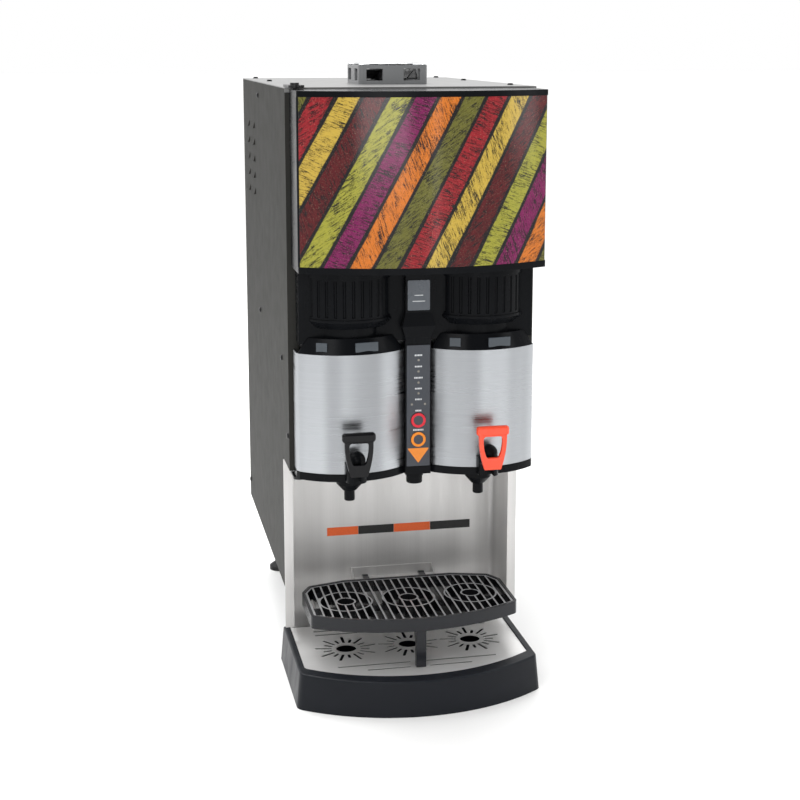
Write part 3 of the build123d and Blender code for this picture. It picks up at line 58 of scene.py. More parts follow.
CAMERA_AT = (-0.3962, -2.0597, 0.840)
CAMERA_YAW = math.radians(11.546)
CAMERA_PITCH = math.radians(-10.682)
CAMERA_LENS = 68.10
CAMERA_SHIFT_Y = -0.09

camera_data = bpy.data.cameras.new("camera")
camera_data.sensor_width = 36.0
camera_data.lens = CAMERA_LENS
camera_data.shift_y = CAMERA_SHIFT_Y
camera = bpy.data.objects.new("camera", camera_data)
camera.location = CAMERA_AT
camera.rotation_euler = (math.radians(90) + CAMERA_PITCH, 0, -CAMERA_YAW)
bpy.context.scene.collection.objects.link(camera)
bpy.context.scene.camera = camera
bpy.context.scene.view_settings.view_transform = "Standard"


# ------------------------------------------------------------------ material helper

MIX_COLOR_A = 6
MIX_COLOR_B = 7
NOISE_LOW = 0.3
NOISE_HIGH = 0.7


class Look:
    """One material, with short calls for the nodes that feed its shader."""

    def __init__(self, name, color=(0.5, 0.5, 0.5), roughness=0.5, metallic=0.0, **sockets):
        self.material = bpy.data.materials.new(name)
        self.material.use_nodes = True
        self.tree = self.material.node_tree
        self.shader = self.tree.nodes["Principled BSDF"]
        coordinates = self.tree.nodes.new("ShaderNodeTexCoord")
        self.place = coordinates.outputs["Object"]
        self.color = color
        self.set("Base Color", (*color, 1.0))
        self.set("Roughness", roughness)
        self.set("Metallic", metallic)
        for key, value in sockets.items():
            self.set(key.replace("_", " "), value)

    def set(self, key, value):
        """Shader socket from a constant or from another node's output."""
        self.feed(self.shader.inputs[key], value)

    def feed(self, socket, value):
        """Any socket from a constant or from another node's output."""
        if isinstance(value, bpy.types.NodeSocket):
            self.tree.links.new(value, socket)
        elif value is not None:
            socket.default_value = value

    def node(self, kind, **settings):
        """New node with its settings."""
        made = self.tree.nodes.new(kind)
        for key, value in settings.items():
            setattr(made, key, value)
        return made

    def math(self, operation, a, b=None):
        """Math node."""
        made = self.node("ShaderNodeMath", operation=operation)
        self.feed(made.inputs[0], a)
        self.feed(made.inputs[1], b)
        return made.outputs[0]

    def scaled(self, scale, turn=(0, 0, 0)):
        """Object coordinates, turned and then scaled per axis."""
        made = self.node("ShaderNodeMapping", vector_type="TEXTURE")
        self.feed(made.inputs["Vector"], self.place)
        made.inputs["Scale"].default_value = tuple(1.0 / s for s in scale)
        made.inputs["Rotation"].default_value = turn
        return made.outputs[0]

    def noise(self, scale, stretch=(1, 1, 1), detail=3.0, roughness=0.5, distortion=0.0,
              turn=(0, 0, 0)):
        """Noise value; the scale is in cycles per metre."""
        made = self.node("ShaderNodeTexNoise")
        self.feed(made.inputs["Vector"], self.scaled(stretch, turn))
        made.inputs["Scale"].default_value = scale
        made.inputs["Detail"].default_value = detail
        made.inputs["Roughness"].default_value = roughness
        made.inputs["Distortion"].default_value = distortion
        return made.outputs["Fac"]

    def cells(self, scale, feature="F1"):
        """Distance to the nearest cell point."""
        made = self.node("ShaderNodeTexVoronoi", feature=feature)
        self.feed(made.inputs["Vector"], self.place)
        made.inputs["Scale"].default_value = scale
        return made.outputs["Distance"]

    def span(self, value, low, high, to_low=0.0, to_high=1.0, smooth=False):
        """Value moved from one range to another."""
        made = self.node("ShaderNodeMapRange")
        if smooth:
            made.interpolation_type = "SMOOTHSTEP"
        self.feed(made.inputs["Value"], value)
        made.inputs["From Min"].default_value = low
        made.inputs["From Max"].default_value = high
        made.inputs["To Min"].default_value = to_low
        made.inputs["To Max"].default_value = to_high
        return made.outputs["Result"]

    def mix(self, factor, a, b, kind="MIX"):
        """Colour mix."""
        made = self.node("ShaderNodeMix", data_type="RGBA", blend_type=kind)
        self.feed(made.inputs["Factor"], factor)
        for index, value in ((MIX_COLOR_A, a), (MIX_COLOR_B, b)):
            if isinstance(value, tuple) and len(value) == 3:
                value = (*value, 1.0)
            self.feed(made.inputs[index], value)
        return made.outputs[2]

    def axis(self, name, vector=None):
        """One component of a vector, the object coordinates unless told."""
        made = self.node("ShaderNodeSeparateXYZ")
        self.feed(made.inputs[0], vector or self.place)
        return made.outputs[name]

    def bump(self, *layers, edge=None):
        """Height layers as (value, depth in metres), over edges rounded to a radius."""
        normal = None
        if edge:
            rounding = self.node("ShaderNodeBevel", samples=4)
            rounding.inputs["Radius"].default_value = edge
            normal = rounding.outputs[0]
        for height, depth in layers:
            made = self.node("ShaderNodeBump")
            made.inputs["Strength"].default_value = 1.0
            made.inputs["Distance"].default_value = depth
            self.feed(made.inputs["Height"], height)
            self.feed(made.inputs["Normal"], normal)
            normal = made.outputs[0]
        self.set("Normal", normal)
        return self

    def tint(self, factor, dark, light):
        """Base colour that drifts between two multiples of the material's own."""
        low = tuple(min(1.0, c * dark) for c in self.color)
        high = tuple(min(1.0, c * light) for c in self.color)
        tone = self.mix(factor, low, high)
        self.set("Base Color", tone)
        return tone

    def gloss(self, factor, low, high):
        """Roughness that drifts between two values."""
        self.set("Roughness", self.span(factor, NOISE_LOW, NOISE_HIGH, low, high))


def painted(name, color, roughness, peel=0.00006, edge=0.0007, specular=0.35):
    """Powder-coated sheet: orange peel, fine grains and faintly lighter and darker patches."""
    look = Look(name, color, roughness, Specular_IOR_Level=specular)
    patches = look.noise(7.0, detail=6.0, roughness=0.6)
    grains = look.noise(1500.0, detail=2.0)
    wide = look.span(patches, NOISE_LOW, NOISE_HIGH)
    mottled = look.mix(0.35, wide, look.span(grains, NOISE_LOW, NOISE_HIGH))
    look.tint(mottled, 0.9, 1.1)
    look.gloss(look.noise(38.0, detail=5.0), roughness - 0.02, roughness + 0.03)
    return look.bump((look.noise(620.0, detail=2.0), peel), (grains, peel * 0.4), edge=edge)


def moulded(name, color, roughness, grain=0.00003, edge=0.0007, scale=900.0, **sockets):
    """Moulded plastic: fine spark texture, handling smears and slight flow marks."""
    sockets.setdefault("Specular_IOR_Level", 0.13)
    look = Look(name, color, roughness, **sockets)
    flow = look.noise(11.0, stretch=(1, 1, 2.2), detail=5.0, roughness=0.6, distortion=0.6)
    look.tint(flow, 0.8, 1.25)
    smear = look.noise(46.0, stretch=(1, 1, 0.5), detail=6.0, roughness=0.65)
    look.gloss(smear, max(0.04, roughness - 0.05), roughness + 0.09)
    return look.bump((look.noise(scale, detail=3.0), grain), edge=edge)


# Stretch of the noise that lays the painted reflection stripes on brushed steel.
REFLECTION_STRIPE_STRETCH = (23.0, 23.0, 0.3)
BROAD_SHARE = 0.16


def brushed(name, color, roughness, stretch, streak=0.07, depth=0.000003, edge=0.0005,
            anisotropy=0.5, metallic=1.0, reflection_stripe_depth=0.0):
    """Brushed steel: long fine scratches one way, cloudy patches and, if asked, vertical stripes
    darkening the base colour as painted reflections.
    """
    look = Look(name, color, roughness, metallic, Anisotropic=anisotropy)
    fine = look.noise(1.0, stretch=stretch, detail=6.0, roughness=0.75)
    broad = look.noise(1.0, stretch=tuple(s * BROAD_SHARE for s in stretch), detail=4.0, roughness=0.6)
    cloud = look.noise(9.0, detail=4.0, roughness=0.55)
    lines = look.mix(0.45, look.span(fine, 0.25, 0.75), look.span(broad, NOISE_LOW, NOISE_HIGH))
    blend = look.mix(0.25, lines, look.span(cloud, NOISE_LOW, NOISE_HIGH))
    tone = look.tint(blend, 1.0 - streak, 1.0 + streak)
    # Painted reflection: broad vertical stripes darken the base colour, standing for softbox
    # reflections on the steel.
    if reflection_stripe_depth:
        wide = look.noise(1.0, stretch=REFLECTION_STRIPE_STRETCH, detail=1.0)
        painted_reflection_stripes = look.span(wide, 0.35, 0.65, 1.0 - reflection_stripe_depth, 1.0, smooth=True)
        look.set("Base Color", look.mix(1.0, tone, painted_reflection_stripes, "MULTIPLY"))
    look.gloss(blend, roughness - 0.09, roughness + 0.1)
    return look.bump((fine, depth), (broad, depth * 2), edge=edge)


# ------------------------------------------------------------------ display artwork

PASTEL = {
    "soot": (0.006, 0.005, 0.006),
    "maroon": (0.085, 0.006, 0.008),
    "red": (0.27, 0.012, 0.018),
    "orange": (0.55, 0.15, 0.015),
    "magenta": (0.17, 0.006, 0.075),
    "leaf": (0.30, 0.29, 0.035),
    "olive": (0.12, 0.115, 0.02),
    "cream": (0.52, 0.46, 0.30),
    "gold": (0.48, 0.33, 0.05),
}


STROKE_TURNS = (-35, 20, 70)
PANEL_MIDDLE_Z = 675
ENDLESS = 1000.0
STRIPE_COLORS = ("olive", "red", "gold", "maroon", "leaf", "magenta", "orange")
STRIPE_PITCH = 30
STRIPE_HALF_WIDTH = 12
STRIPE_HALF_LENGTH = 420
STRIPE_TURN = 28
STRIPES_EACH_SIDE = 7
STRIPE_COVER = 0.9
STRIPE_SOFTNESS = 0.12


def chalk_art():
    """Generic display film: even slanting pastel stripes on a near-black ground."""
    look = Look("display_art", PASTEL["soot"], 0.14, Specular_IOR_Level=0.28)
    wobble = look.math("MULTIPLY", look.math("SUBTRACT", look.noise(38.0, detail=4.0), 0.5), 0.16)
    strokes = {
        turn: look.noise(75.0, stretch=(1.0, 1.0, 8.0), detail=6.0, roughness=0.75,
                         turn=(0, math.radians(turn), 0))
        for turn in STROKE_TURNS
    }
    paper = look.noise(1100.0, detail=2.0)
    rub = look.noise(55.0, detail=5.0, roughness=0.7)

    def chalk(turn, cover):
        """Broken pastel strokes in one direction; more cover leaves fewer gaps."""
        rubbed = look.math("ADD", strokes[turn], look.math("MULTIPLY", paper, 0.35))
        rubbed = look.math("ADD", rubbed, look.math("MULTIPLY", rub, 0.45))
        return look.span(rubbed, 1.02 - cover * 0.3, 1.22 - cover * 0.3, smooth=True)

    def stripe(x):
        """Mask of one long stripe, with an uneven chalky edge."""
        made = look.node("ShaderNodeMapping", vector_type="TEXTURE")
        look.feed(made.inputs["Vector"], look.place)
        made.inputs["Location"].default_value = (x * MM, 0, PANEL_MIDDLE_Z * MM)
        made.inputs["Rotation"].default_value = (0, math.radians(STRIPE_TURN), 0)
        reach = (STRIPE_HALF_WIDTH * MM, ENDLESS, STRIPE_HALF_LENGTH * MM)
        made.inputs["Scale"].default_value = reach
        length = look.node("ShaderNodeVectorMath", operation="LENGTH")
        look.feed(length.inputs[0], made.outputs[0])
        away = look.math("ADD", length.outputs["Value"], wobble)
        return look.span(away, 1.0 - STRIPE_SOFTNESS, 1.0, 1.0, 0.0, smooth=True)

    color = look.mix(chalk(20, 0.1), PASTEL["soot"], PASTEL["maroon"])
    for step in range(-STRIPES_EACH_SIDE, STRIPES_EACH_SIDE + 1):
        stroke = STROKE_TURNS[step % len(STROKE_TURNS)]
        mask = look.math("MULTIPLY", stripe(step * STRIPE_PITCH), chalk(stroke, STRIPE_COVER))
        color = look.mix(mask, color, PASTEL[STRIPE_COLORS[step % len(STRIPE_COLORS)]])
    speckle = look.span(paper, 0.62, 0.75)
    color = look.mix(look.math("MULTIPLY", speckle, 0.3), color, PASTEL["cream"])
    facing = look.node("ShaderNodeTexCoord")
    sideways = look.math("ABSOLUTE", look.axis("X", facing.outputs["Normal"]))
    on_return = look.span(sideways, 0.7, 0.85)
    backing = look.mix(look.noise(14.0), (0.075, 0.06, 0.05), (0.17, 0.14, 0.12))
    color = look.mix(on_return, color, backing)
    look.set("Base Color", color)
    look.gloss(look.noise(30.0, detail=5.0), 0.12, 0.2)
    return look.bump((paper, 0.000004), edge=0.0006)


# ------------------------------------------------------------------ every finish by slot

def circuit_board():
    """Green board with copper tracks under the mask."""
    look = Look("board_green", (0.02, 0.12, 0.045), 0.35, Coat_Weight=0.4)
    tracks = look.cells(170.0, "DISTANCE_TO_EDGE")
    lines = look.span(tracks, 0.04, 0.07, 1.0, 0.0)
    look.set("Base Color", look.mix(lines, (0.015, 0.10, 0.035), (0.05, 0.22, 0.08)))
    look.gloss(look.noise(60.0), 0.28, 0.42)
    return look.bump((lines, 0.00004), edge=0.0004)


def cloudy_bottle():
    """Milky blow-moulded bottle with wall-thickness clouds."""
    look = moulded("bottle_white", (0.78, 0.77, 0.72), 0.38, scale=500.0, Subsurface_Weight=0.25)
    look.shader.inputs["Subsurface Radius"].default_value = (0.01, 0.009, 0.007)
    return look


def clear_tube():
    """Cloudy silicone tube."""
    return moulded("tube_clear", (0.82, 0.80, 0.74), 0.22, Transmission_Weight=0.55)


def lamp():
    """Unlit indicator lens with a faint moulded dimple pattern."""
    look = Look("lamp_lens", (0.16, 0.15, 0.13), 0.18, Coat_Weight=0.8)
    look.tint(look.noise(400.0), 0.7, 1.4)
    look.gloss(look.noise(250.0), 0.12, 0.25)
    return look.bump((look.cells(1400.0), 0.00005))


def film(name, color, roughness):
    """Printed polyester overlay with a fine matt texture."""
    look = Look(name, color, roughness, Specular_IOR_Level=0.35)
    look.tint(look.noise(26.0, detail=5.0), 0.85, 1.18)
    look.gloss(look.noise(90.0, detail=4.0), roughness - 0.05, roughness + 0.08)
    return look.bump((look.noise(2600.0, detail=2.0), 0.00001), edge=0.0004)


RING_INSIDE = 6.1 * MM
RING_EDGE = 0.3 * MM


def ring_button(name, color, node):
    """Overlay button: coloured ring round a slate centre."""
    low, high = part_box(node)
    middle_z = (low.z + high.z) / 2
    look = Look(name, color, 0.3, Specular_IOR_Level=0.35)
    x = look.axis("X")
    z = look.math("SUBTRACT", look.axis("Z"), middle_z)
    squares = look.math("ADD", look.math("MULTIPLY", x, x), look.math("MULTIPLY", z, z))
    radius = look.math("SQRT", squares)
    inside = look.span(radius, RING_INSIDE, RING_INSIDE + RING_EDGE, 1.0, 0.0)
    tone = look.tint(look.noise(60.0, detail=4.0), 0.85, 1.1)
    look.set("Base Color", look.mix(inside, tone, (0.045, 0.045, 0.055)))
    look.gloss(look.noise(120.0), 0.24, 0.38)
    return look.bump((look.noise(2200.0), 0.000008), edge=0.0004)


def grille_with_painted_top_sheen():
    """Dark plastic whose level top faces carry a pale painted sheen in the base colour, standing for
    the bright reflection along their tops.
    """
    look = moulded("grille_plastic", (0.012, 0.012, 0.013), 0.2, grain=0.00002, Specular_IOR_Level=0.3)
    normal = look.node("ShaderNodeTexCoord").outputs["Normal"]
    upward = look.span(look.axis("Z", normal), 0.75, 0.98)
    sheen_breakup = look.span(look.noise(120.0, detail=4.0), NOISE_LOW, NOISE_HIGH, 0.75, 1.0)
    painted_top_sheen = look.math("MULTIPLY", upward, sheen_breakup)
    # Painted sheen: faces that look upward are coloured pale grey, broken up by noise.
    look.set("Base Color", look.mix(painted_top_sheen, (0.008, 0.008, 0.009), (0.34, 0.345, 0.35)))
    return look


HORIZONTAL_GRAIN = (9.0, 9.0, 2300.0)
VERTICAL_GRAIN = (2100.0, 2100.0, 7.0)
ACROSS_GRAIN = (9.0, 2200.0, 2200.0)

LOOKS = {
    "case_paint": painted("case_paint", (0.034, 0.0335, 0.031), 0.50, specular=0.03),
    # Splash steel with faint painted reflection stripes in its base colour.
    "splash_steel": brushed("splash_steel", (0.69, 0.68, 0.67), 0.44, VERTICAL_GRAIN, streak=0.09,
                            depth=0.0000012, metallic=0.55, reflection_stripe_depth=0.14),
    # Drum steel with strong painted reflection stripes in its base colour.
    "drum_steel": brushed("drum_steel", (0.42, 0.435, 0.455), 0.33, HORIZONTAL_GRAIN, streak=0.14,
                          depth=0.0000012, reflection_stripe_depth=0.32),
    "cover_steel": brushed("cover_steel", (0.80, 0.795, 0.785), 0.42, ACROSS_GRAIN, depth=0.0000015,
                           metallic=0.6),
    "zinc_sheet": brushed("zinc_sheet", (0.50, 0.51, 0.52), 0.42, (60.0, 60.0, 60.0), streak=0.3),
    "black_plastic": moulded("black_plastic", (0.0045, 0.005, 0.006), 0.22, Specular_IOR_Level=0.06),
    "basin_plastic": moulded("basin_plastic", (0.0085, 0.010, 0.0135), 0.36, grain=0.00005, scale=700.0,
                             Specular_IOR_Level=0.16),
    "tray_plastic": moulded("tray_plastic", (0.012, 0.013, 0.016), 0.18, Specular_IOR_Level=0.3),
    "display_art": chalk_art(),
    "panel_film": film("panel_film", (0.040, 0.045, 0.055), 0.34),
    "label_grey": film("label_grey", (0.085, 0.095, 0.11), 0.30),
    "tab_grey": moulded("tab_grey", (0.050, 0.060, 0.070), 0.18, Specular_IOR_Level=0.4),
    "handle_black": moulded("handle_black", (0.003, 0.003, 0.004), 0.12, grain=0.00001,
                            Specular_IOR_Level=0.2),
    "handle_orange": moulded("handle_orange", (0.80, 0.060, 0.018), 0.22, Specular_IOR_Level=0.5,
                             Subsurface_Weight=0.05),
    "button_red": ring_button("button_red", (0.62, 0.012, 0.030), "stop_button"),
    "button_amber": ring_button("button_amber", (0.80, 0.24, 0.012), "hot_water_button"),
    "lamp_lens": lamp(),
    "fan_metal": painted("fan_metal", (0.20, 0.205, 0.21), 0.36, peel=0.0001),
    "fan_black": moulded("fan_black", (0.010, 0.010, 0.011), 0.35),
    "guard_chrome": brushed("guard_chrome", (0.86, 0.87, 0.88), 0.13, (300.0, 300.0, 300.0),
                            streak=0.06, anisotropy=0.0),
    "screw_black": moulded("screw_black", (0.02, 0.02, 0.021), 0.30, edge=0.0003),
    "leg_black": moulded("leg_black", (0.014, 0.014, 0.015), 0.34),
    "rubber_black": moulded("rubber_black", (0.012, 0.012, 0.012), 0.6, grain=0.0001),
    "bottle_white": cloudy_bottle(),
    "cap_brown": moulded("cap_brown", (0.10, 0.045, 0.02), 0.35),
    "pump_grey": moulded("pump_grey", (0.16, 0.165, 0.17), 0.42),
    "motor_steel": brushed("motor_steel", (0.45, 0.46, 0.48), 0.35, (20.0, 900.0, 20.0)),
    "tube_clear": clear_tube(),
    "tank_steel": brushed("tank_steel", (0.56, 0.56, 0.55), 0.34, HORIZONTAL_GRAIN),
    "heater_metal": brushed("heater_metal", (0.38, 0.36, 0.34), 0.42, (60.0, 60.0, 900.0), streak=0.35),
    "valve_body": moulded("valve_body", (0.55, 0.54, 0.50), 0.45),
    "board_green": circuit_board(),
    "coil_iron": painted("coil_iron", (0.10, 0.095, 0.09), 0.5, peel=0.0002),
    "harness_black": moulded("harness_black", (0.015, 0.015, 0.016), 0.5, grain=0.0002, scale=300.0),
}

# Lit copy of the case paint for the top covers: its lighter base colour is painted sheen for their
# bright grazing reflection; it is also glossier.
TOP_PAINT_PAINTED_SHEEN = painted("case_paint_top_painted_sheen", (0.16, 0.16, 0.158), 0.34, specular=0.5)
OWN_LOOK = {
    "top_cover_front": TOP_PAINT_PAINTED_SHEEN,
    "top_cover_rear": TOP_PAINT_PAINTED_SHEEN,
    "hinge_brackets": painted("hinge_paint", (0.010, 0.010, 0.011), 0.30, specular=0.3),
    "cup_tray_grille": grille_with_painted_top_sheen(),
}

for node, thing in NODES.items():
    thing.data.materials.clear()
    thing.data.materials.append(OWN_LOOK.get(node, LOOKS[SLOT_OF[node]]).material)


# ------------------------------------------------------------------ mesh helpers

def keep(mesh_or_bmesh, name, body, slot, *replaced, look=None, smooth=True):
    """Object made from mesh data: finished, on its body and standing for its CAD nodes."""
    if isinstance(mesh_or_bmesh, bmesh.types.BMesh):
        mesh = bpy.data.meshes.new(name)
        mesh_or_bmesh.to_mesh(mesh)
        mesh_or_bmesh.free()
    else:
        mesh = mesh_or_bmesh
    for polygon in mesh.polygons:
        polygon.use_smooth = smooth
    mesh.materials.clear()
    mesh.materials.append((look or LOOKS[slot]).material)
    piece = bpy.data.objects.new(name, mesh)
    bpy.context.scene.collection.objects.link(piece)
    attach(piece, body)
    if replaced:
        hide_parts(*replaced)
    return piece


MERGE_GAP = 0.002 * MM
FLAT_ANGLE = math.radians(0.8)
ROUNDED_ANGLE = math.radians(32)
CREASE_ANGLE = math.radians(42)


def is_sharp(edge, angle):
    """True for an edge between two faces that meet at more than the angle."""
    return len(edge.link_faces) == 2 and edge.calc_face_angle(0) > angle


def rounded(node, body, width, segments=2):
    """Copy of a CAD node with its sharp edges rounded, standing for the node."""
    work = bmesh.new()
    work.from_mesh(NODES[node].data)
    bmesh.ops.remove_doubles(work, verts=work.verts, dist=MERGE_GAP)
    bmesh.ops.dissolve_limit(work, angle_limit=FLAT_ANGLE, verts=work.verts, edges=work.edges)
    sharp = [edge for edge in work.edges if is_sharp(edge, ROUNDED_ANGLE)]
    bmesh.ops.bevel(work, geom=sharp, offset=width * MM, offset_type="OFFSET", segments=segments,
                    profile=0.5, affect="EDGES", clamp_overlap=True)
    for edge in work.edges:
        edge.smooth = not is_sharp(edge, CREASE_ANGLE)
    piece = keep(work, node + "_moulded", body, SLOT_OF[node], node, look=OWN_LOOK.get(node))
    normals = piece.modifiers.new("normals", "WEIGHTED_NORMAL")
    normals.keep_sharp = True


def wire_mesh(name, paths, radius):
    """Mesh of round wires; each path is (points, closed)."""
    curve = bpy.data.curves.new(name, "CURVE")
    curve.dimensions = "3D"
    curve.bevel_depth = radius
    curve.bevel_resolution = 4
    curve.use_fill_caps = True
    for points, closed in paths:
        spline = curve.splines.new("POLY")
        spline.points.add(len(points) - 1)
        for target, point in zip(spline.points, points):
            target.co = (*point, 1.0)
        spline.use_cyclic_u = closed
    holder = bpy.data.objects.new(name + "_curve", curve)
    bpy.context.scene.collection.objects.link(holder)
    bpy.context.view_layer.update()
    finished = holder.evaluated_get(bpy.context.evaluated_depsgraph_get())
    mesh = bpy.data.meshes.new_from_object(finished)
    bpy.data.objects.remove(holder)
    bpy.data.curves.remove(curve)
    return mesh


def circle(centre, radius, count=72, start=0.0, sweep=360.0):
    """Points round a level circle or arc."""
    steps = count if sweep == 360.0 else count - 1
    turns = [math.radians(start + sweep * i / steps) for i in range(count)]
    x, y, z = centre
    return [(x + radius * math.cos(t), y + radius * math.sin(t), z) for t in turns]


def add_block(work, low, high, bevel=0.0, segments=2):
    """Box between two corners, added to a bmesh, with its edges rounded if asked."""
    centre = [(a + b) / 2 for a, b in zip(low, high)]
    size = [abs(b - a) for a, b in zip(low, high)]
    place = Matrix.Translation(centre) @ Matrix.Diagonal((*size, 1))
    made = bmesh.ops.create_cube(work, size=1.0, matrix=place)
    if bevel:
        edges = list({edge for vert in made["verts"] for edge in vert.link_edges})
        bmesh.ops.bevel(work, geom=edges, offset=bevel, segments=segments, profile=0.5, affect="EDGES",
                        clamp_overlap=True)


# ------------------------------------------------------------------ fan guard of round wire

fan_low, fan_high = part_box("fan_guard")
FAN_X = (fan_low.x + fan_high.x) / 2
FAN_Y = (fan_low.y + fan_high.y) / 2
FAN_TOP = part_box("fan_frame")[1].z
HOLE_REACH = 82.5 / 2 * MM
WIRE = 1.0 * MM
LEVEL = FAN_TOP + WIRE
RING_RISE = 0.9 * MM
GUARD_RINGS = (7.0, 14.5, 22.0, 29.5, 37.0, 43.0)
STRAP_HALF = 1.6 * MM
STRAP_START = GUARD_RINGS[0] * MM
EYE_RADIUS = 3.4 * MM
EYE_SWEEP = 310.0
EYE_START = 205.0
STRAP_STOP = 3.2 * MM


def guard_paths():
    """Rings, two crossed straps and the four screw eyes."""
    ring_middle = (FAN_X, FAN_Y, LEVEL + RING_RISE)
    paths = [(circle(ring_middle, radius * MM), True) for radius in GUARD_RINGS]
    middle = Vector((FAN_X, FAN_Y, LEVEL))
    for turn in range(4):
        angle = math.radians(45 + 90 * turn)
        along = Vector((math.cos(angle), math.sin(angle), 0))
        across = Vector((-along.y, along.x, 0))
        eye = middle + along * HOLE_REACH * math.sqrt(2)
        for side in (-1, 1):
            inner = middle + along * STRAP_START + across * side * STRAP_HALF
            outer = eye - along * STRAP_STOP + across * side * STRAP_HALF
            paths.append(([tuple(inner), tuple(outer)], False))
        start = math.degrees(angle) + EYE_START
        paths.append((circle(tuple(eye), EYE_RADIUS, 26, start, EYE_SWEEP), False))
    return paths


guard_wire = wire_mesh("fan_guard_wire", guard_paths(), WIRE)
keep(guard_wire, "fan_guard_wire", "cabinet", "guard_chrome", "fan_guard")

# Radius and height above the fan, up a domed screw head.
SCREW_PROFILE = ((3.7, 0.9), (3.7, 1.5), (3.3, 2.2), (2.4, 2.7), (1.2, 2.95))
CROSS_LONG = 2.2 * MM
CROSS_THIN = 0.35 * MM
CROSS_LOW = 2.5 * MM
CROSS_HIGH = 3.05 * MM


def add_screw(work, x, y):
    """Domed screw head with a raised cross, added to a bmesh."""
    previous = None
    for radius, height in SCREW_PROFILE:
        points = circle((x, y, FAN_TOP + height * MM), radius * MM, 28)
        row = [work.verts.new(point) for point in points]
        if previous:
            for i in range(len(row)):
                j = (i + 1) % len(row)
                work.faces.new((previous[i], previous[j], row[j], row[i]))
        previous = row
    work.faces.new(previous)
    for half_x, half_y in ((CROSS_LONG, CROSS_THIN), (CROSS_THIN, CROSS_LONG)):
        add_block(work, (x - half_x, y - half_y, FAN_TOP + CROSS_LOW),
                  (x + half_x, y + half_y, FAN_TOP + CROSS_HIGH), 0.1 * MM)


screws = bmesh.new()
for side_x in (-1, 1):
    for side_y in (-1, 1):
        add_screw(screws, FAN_X + side_x * HOLE_REACH, FAN_Y + side_y * HOLE_REACH)
keep(screws, "fan_guard_screws", "cabinet", "guard_chrome")


# ------------------------------------------------------------------ rounded versions of moulded nodes

rounded("drip_tray", "drip_basin", 1.2, 3)
rounded("cup_tray_frame", "cup_tray", 0.8, 2)
rounded("cup_tray_grille", "cup_tray", 0.5, 2)
rounded("left_tap_handle", "left_tap", 0.9, 3)
rounded("right_tap_handle", "right_tap", 0.9, 3)
rounded("tap_bodies", "door", 0.5, 2)
rounded("lid_tabs", "door", 0.5, 2)
rounded("stop_button", "stop_key", 0.35, 2)
rounded("hot_water_button", "hot_water_key", 0.35, 2)


# ------------------------------------------------------------------ printed marks without lettering

def print_look(name, color):
    """Screen-printed ink, slightly broken."""
    look = Look(name, color, 0.45)
    look.tint(look.noise(900.0, detail=3.0), 0.75, 1.1)
    look.gloss(look.noise(300.0), 0.38, 0.55)
    return look.bump((look.noise(1800.0), 0.000008))


INK_PALE = print_look("ink_pale", (0.62, 0.64, 0.66))
INK_AMBER = print_look("ink_amber", (0.80, 0.24, 0.015))
INK_ORANGE = print_look("ink_orange", (0.95, 0.14, 0.02))
INK_BLACK = print_look("ink_black", (0.006, 0.006, 0.006))

panel_low, panel_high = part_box("control_panel")
PANEL_FRONT = panel_low.y
PLATE_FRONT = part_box("label_plate")[0].y
SPLASH_FRONT = -57.0 * MM
INK_RISE = 0.08 * MM
INK_BURIED = 0.02 * MM
DASH_GAP = 0.5
DASH_HEIGHT = 2.0

# Height of each row on the control strip, and the widths of its dashes.
DASH_ROWS = (
    (453.2, (1.6, 1.4, 1.8, 1.2, 1.5)),
    (438.7, (1.5, 1.3, 1.4, 1.6, 1.2)),
    (424.2, (1.4, 1.5, 1.2, 1.6, 1.3, 1.2)),
    (410.2, (1.4, 1.0, 1.5, 1.5, 1.2)),
    (396.2, (1.5, 1.2, 1.3, 1.0, 1.2)),
    (381.6, (1.6, 1.4, 1.7, 1.5)),
    (356.4, (1.5, 1.4, 1.3, 2.0, 1.4, 1.3, 1.2)),
)


def add_print(work, face_y, x0, x1, z0, z1, rise=INK_RISE, bevel=0.0, segments=2):
    """Patch of ink, in millimetres along x and z, standing a little proud of a face."""
    add_block(work, (x0 * MM, face_y - rise, z0 * MM), (x1 * MM, face_y + INK_BURIED, z1 * MM),
              bevel, segments)


def add_dashes(work, z, widths):
    """Centred row of short dashes in place of a printed word."""
    at = -(sum(widths) + DASH_GAP * (len(widths) - 1)) / 2
    for width in widths:
        add_print(work, PANEL_FRONT, at, at + width, z - DASH_HEIGHT / 2, z + DASH_HEIGHT / 2)
        at += width + DASH_GAP


marks = bmesh.new()
for z, widths in DASH_ROWS:
    add_dashes(marks, z, widths)
keep(marks, "control_marks", "door", "panel_film", look=INK_PALE, smooth=False)

POINTER_TIP_Z = 313.0 * MM
POINTER_TOP_Z = 332.5 * MM
POINTER_HALF = panel_high.x - 0.8 * MM
POINTER_ROUND = 1.6 * MM


def outlet_pointer():
    """Downward triangle with rounded corners above the centre nozzle."""
    work = bmesh.new()
    corners = [(-POINTER_HALF, POINTER_TOP_Z), (POINTER_HALF, POINTER_TOP_Z), (0.0, POINTER_TIP_Z)]
    front = [work.verts.new((x, PANEL_FRONT - INK_RISE, z)) for x, z in corners]
    back = [work.verts.new((x, PANEL_FRONT + INK_BURIED, z)) for x, z in corners]
    work.faces.new(front)
    work.faces.new(back[::-1])
    corner_edges = []
    for i in range(3):
        j = (i + 1) % 3
        work.faces.new((front[i], back[i], back[j], front[j]))
        corner_edges.append(work.edges.get((front[i], back[i])))
    bmesh.ops.bevel(work, geom=corner_edges, offset=POINTER_ROUND, segments=4, profile=0.5,
                    affect="EDGES")
    bmesh.ops.recalc_face_normals(work, faces=work.faces)
    return work


keep(outlet_pointer(), "outlet_pointer", "door", "panel_film", look=INK_AMBER, smooth=False)

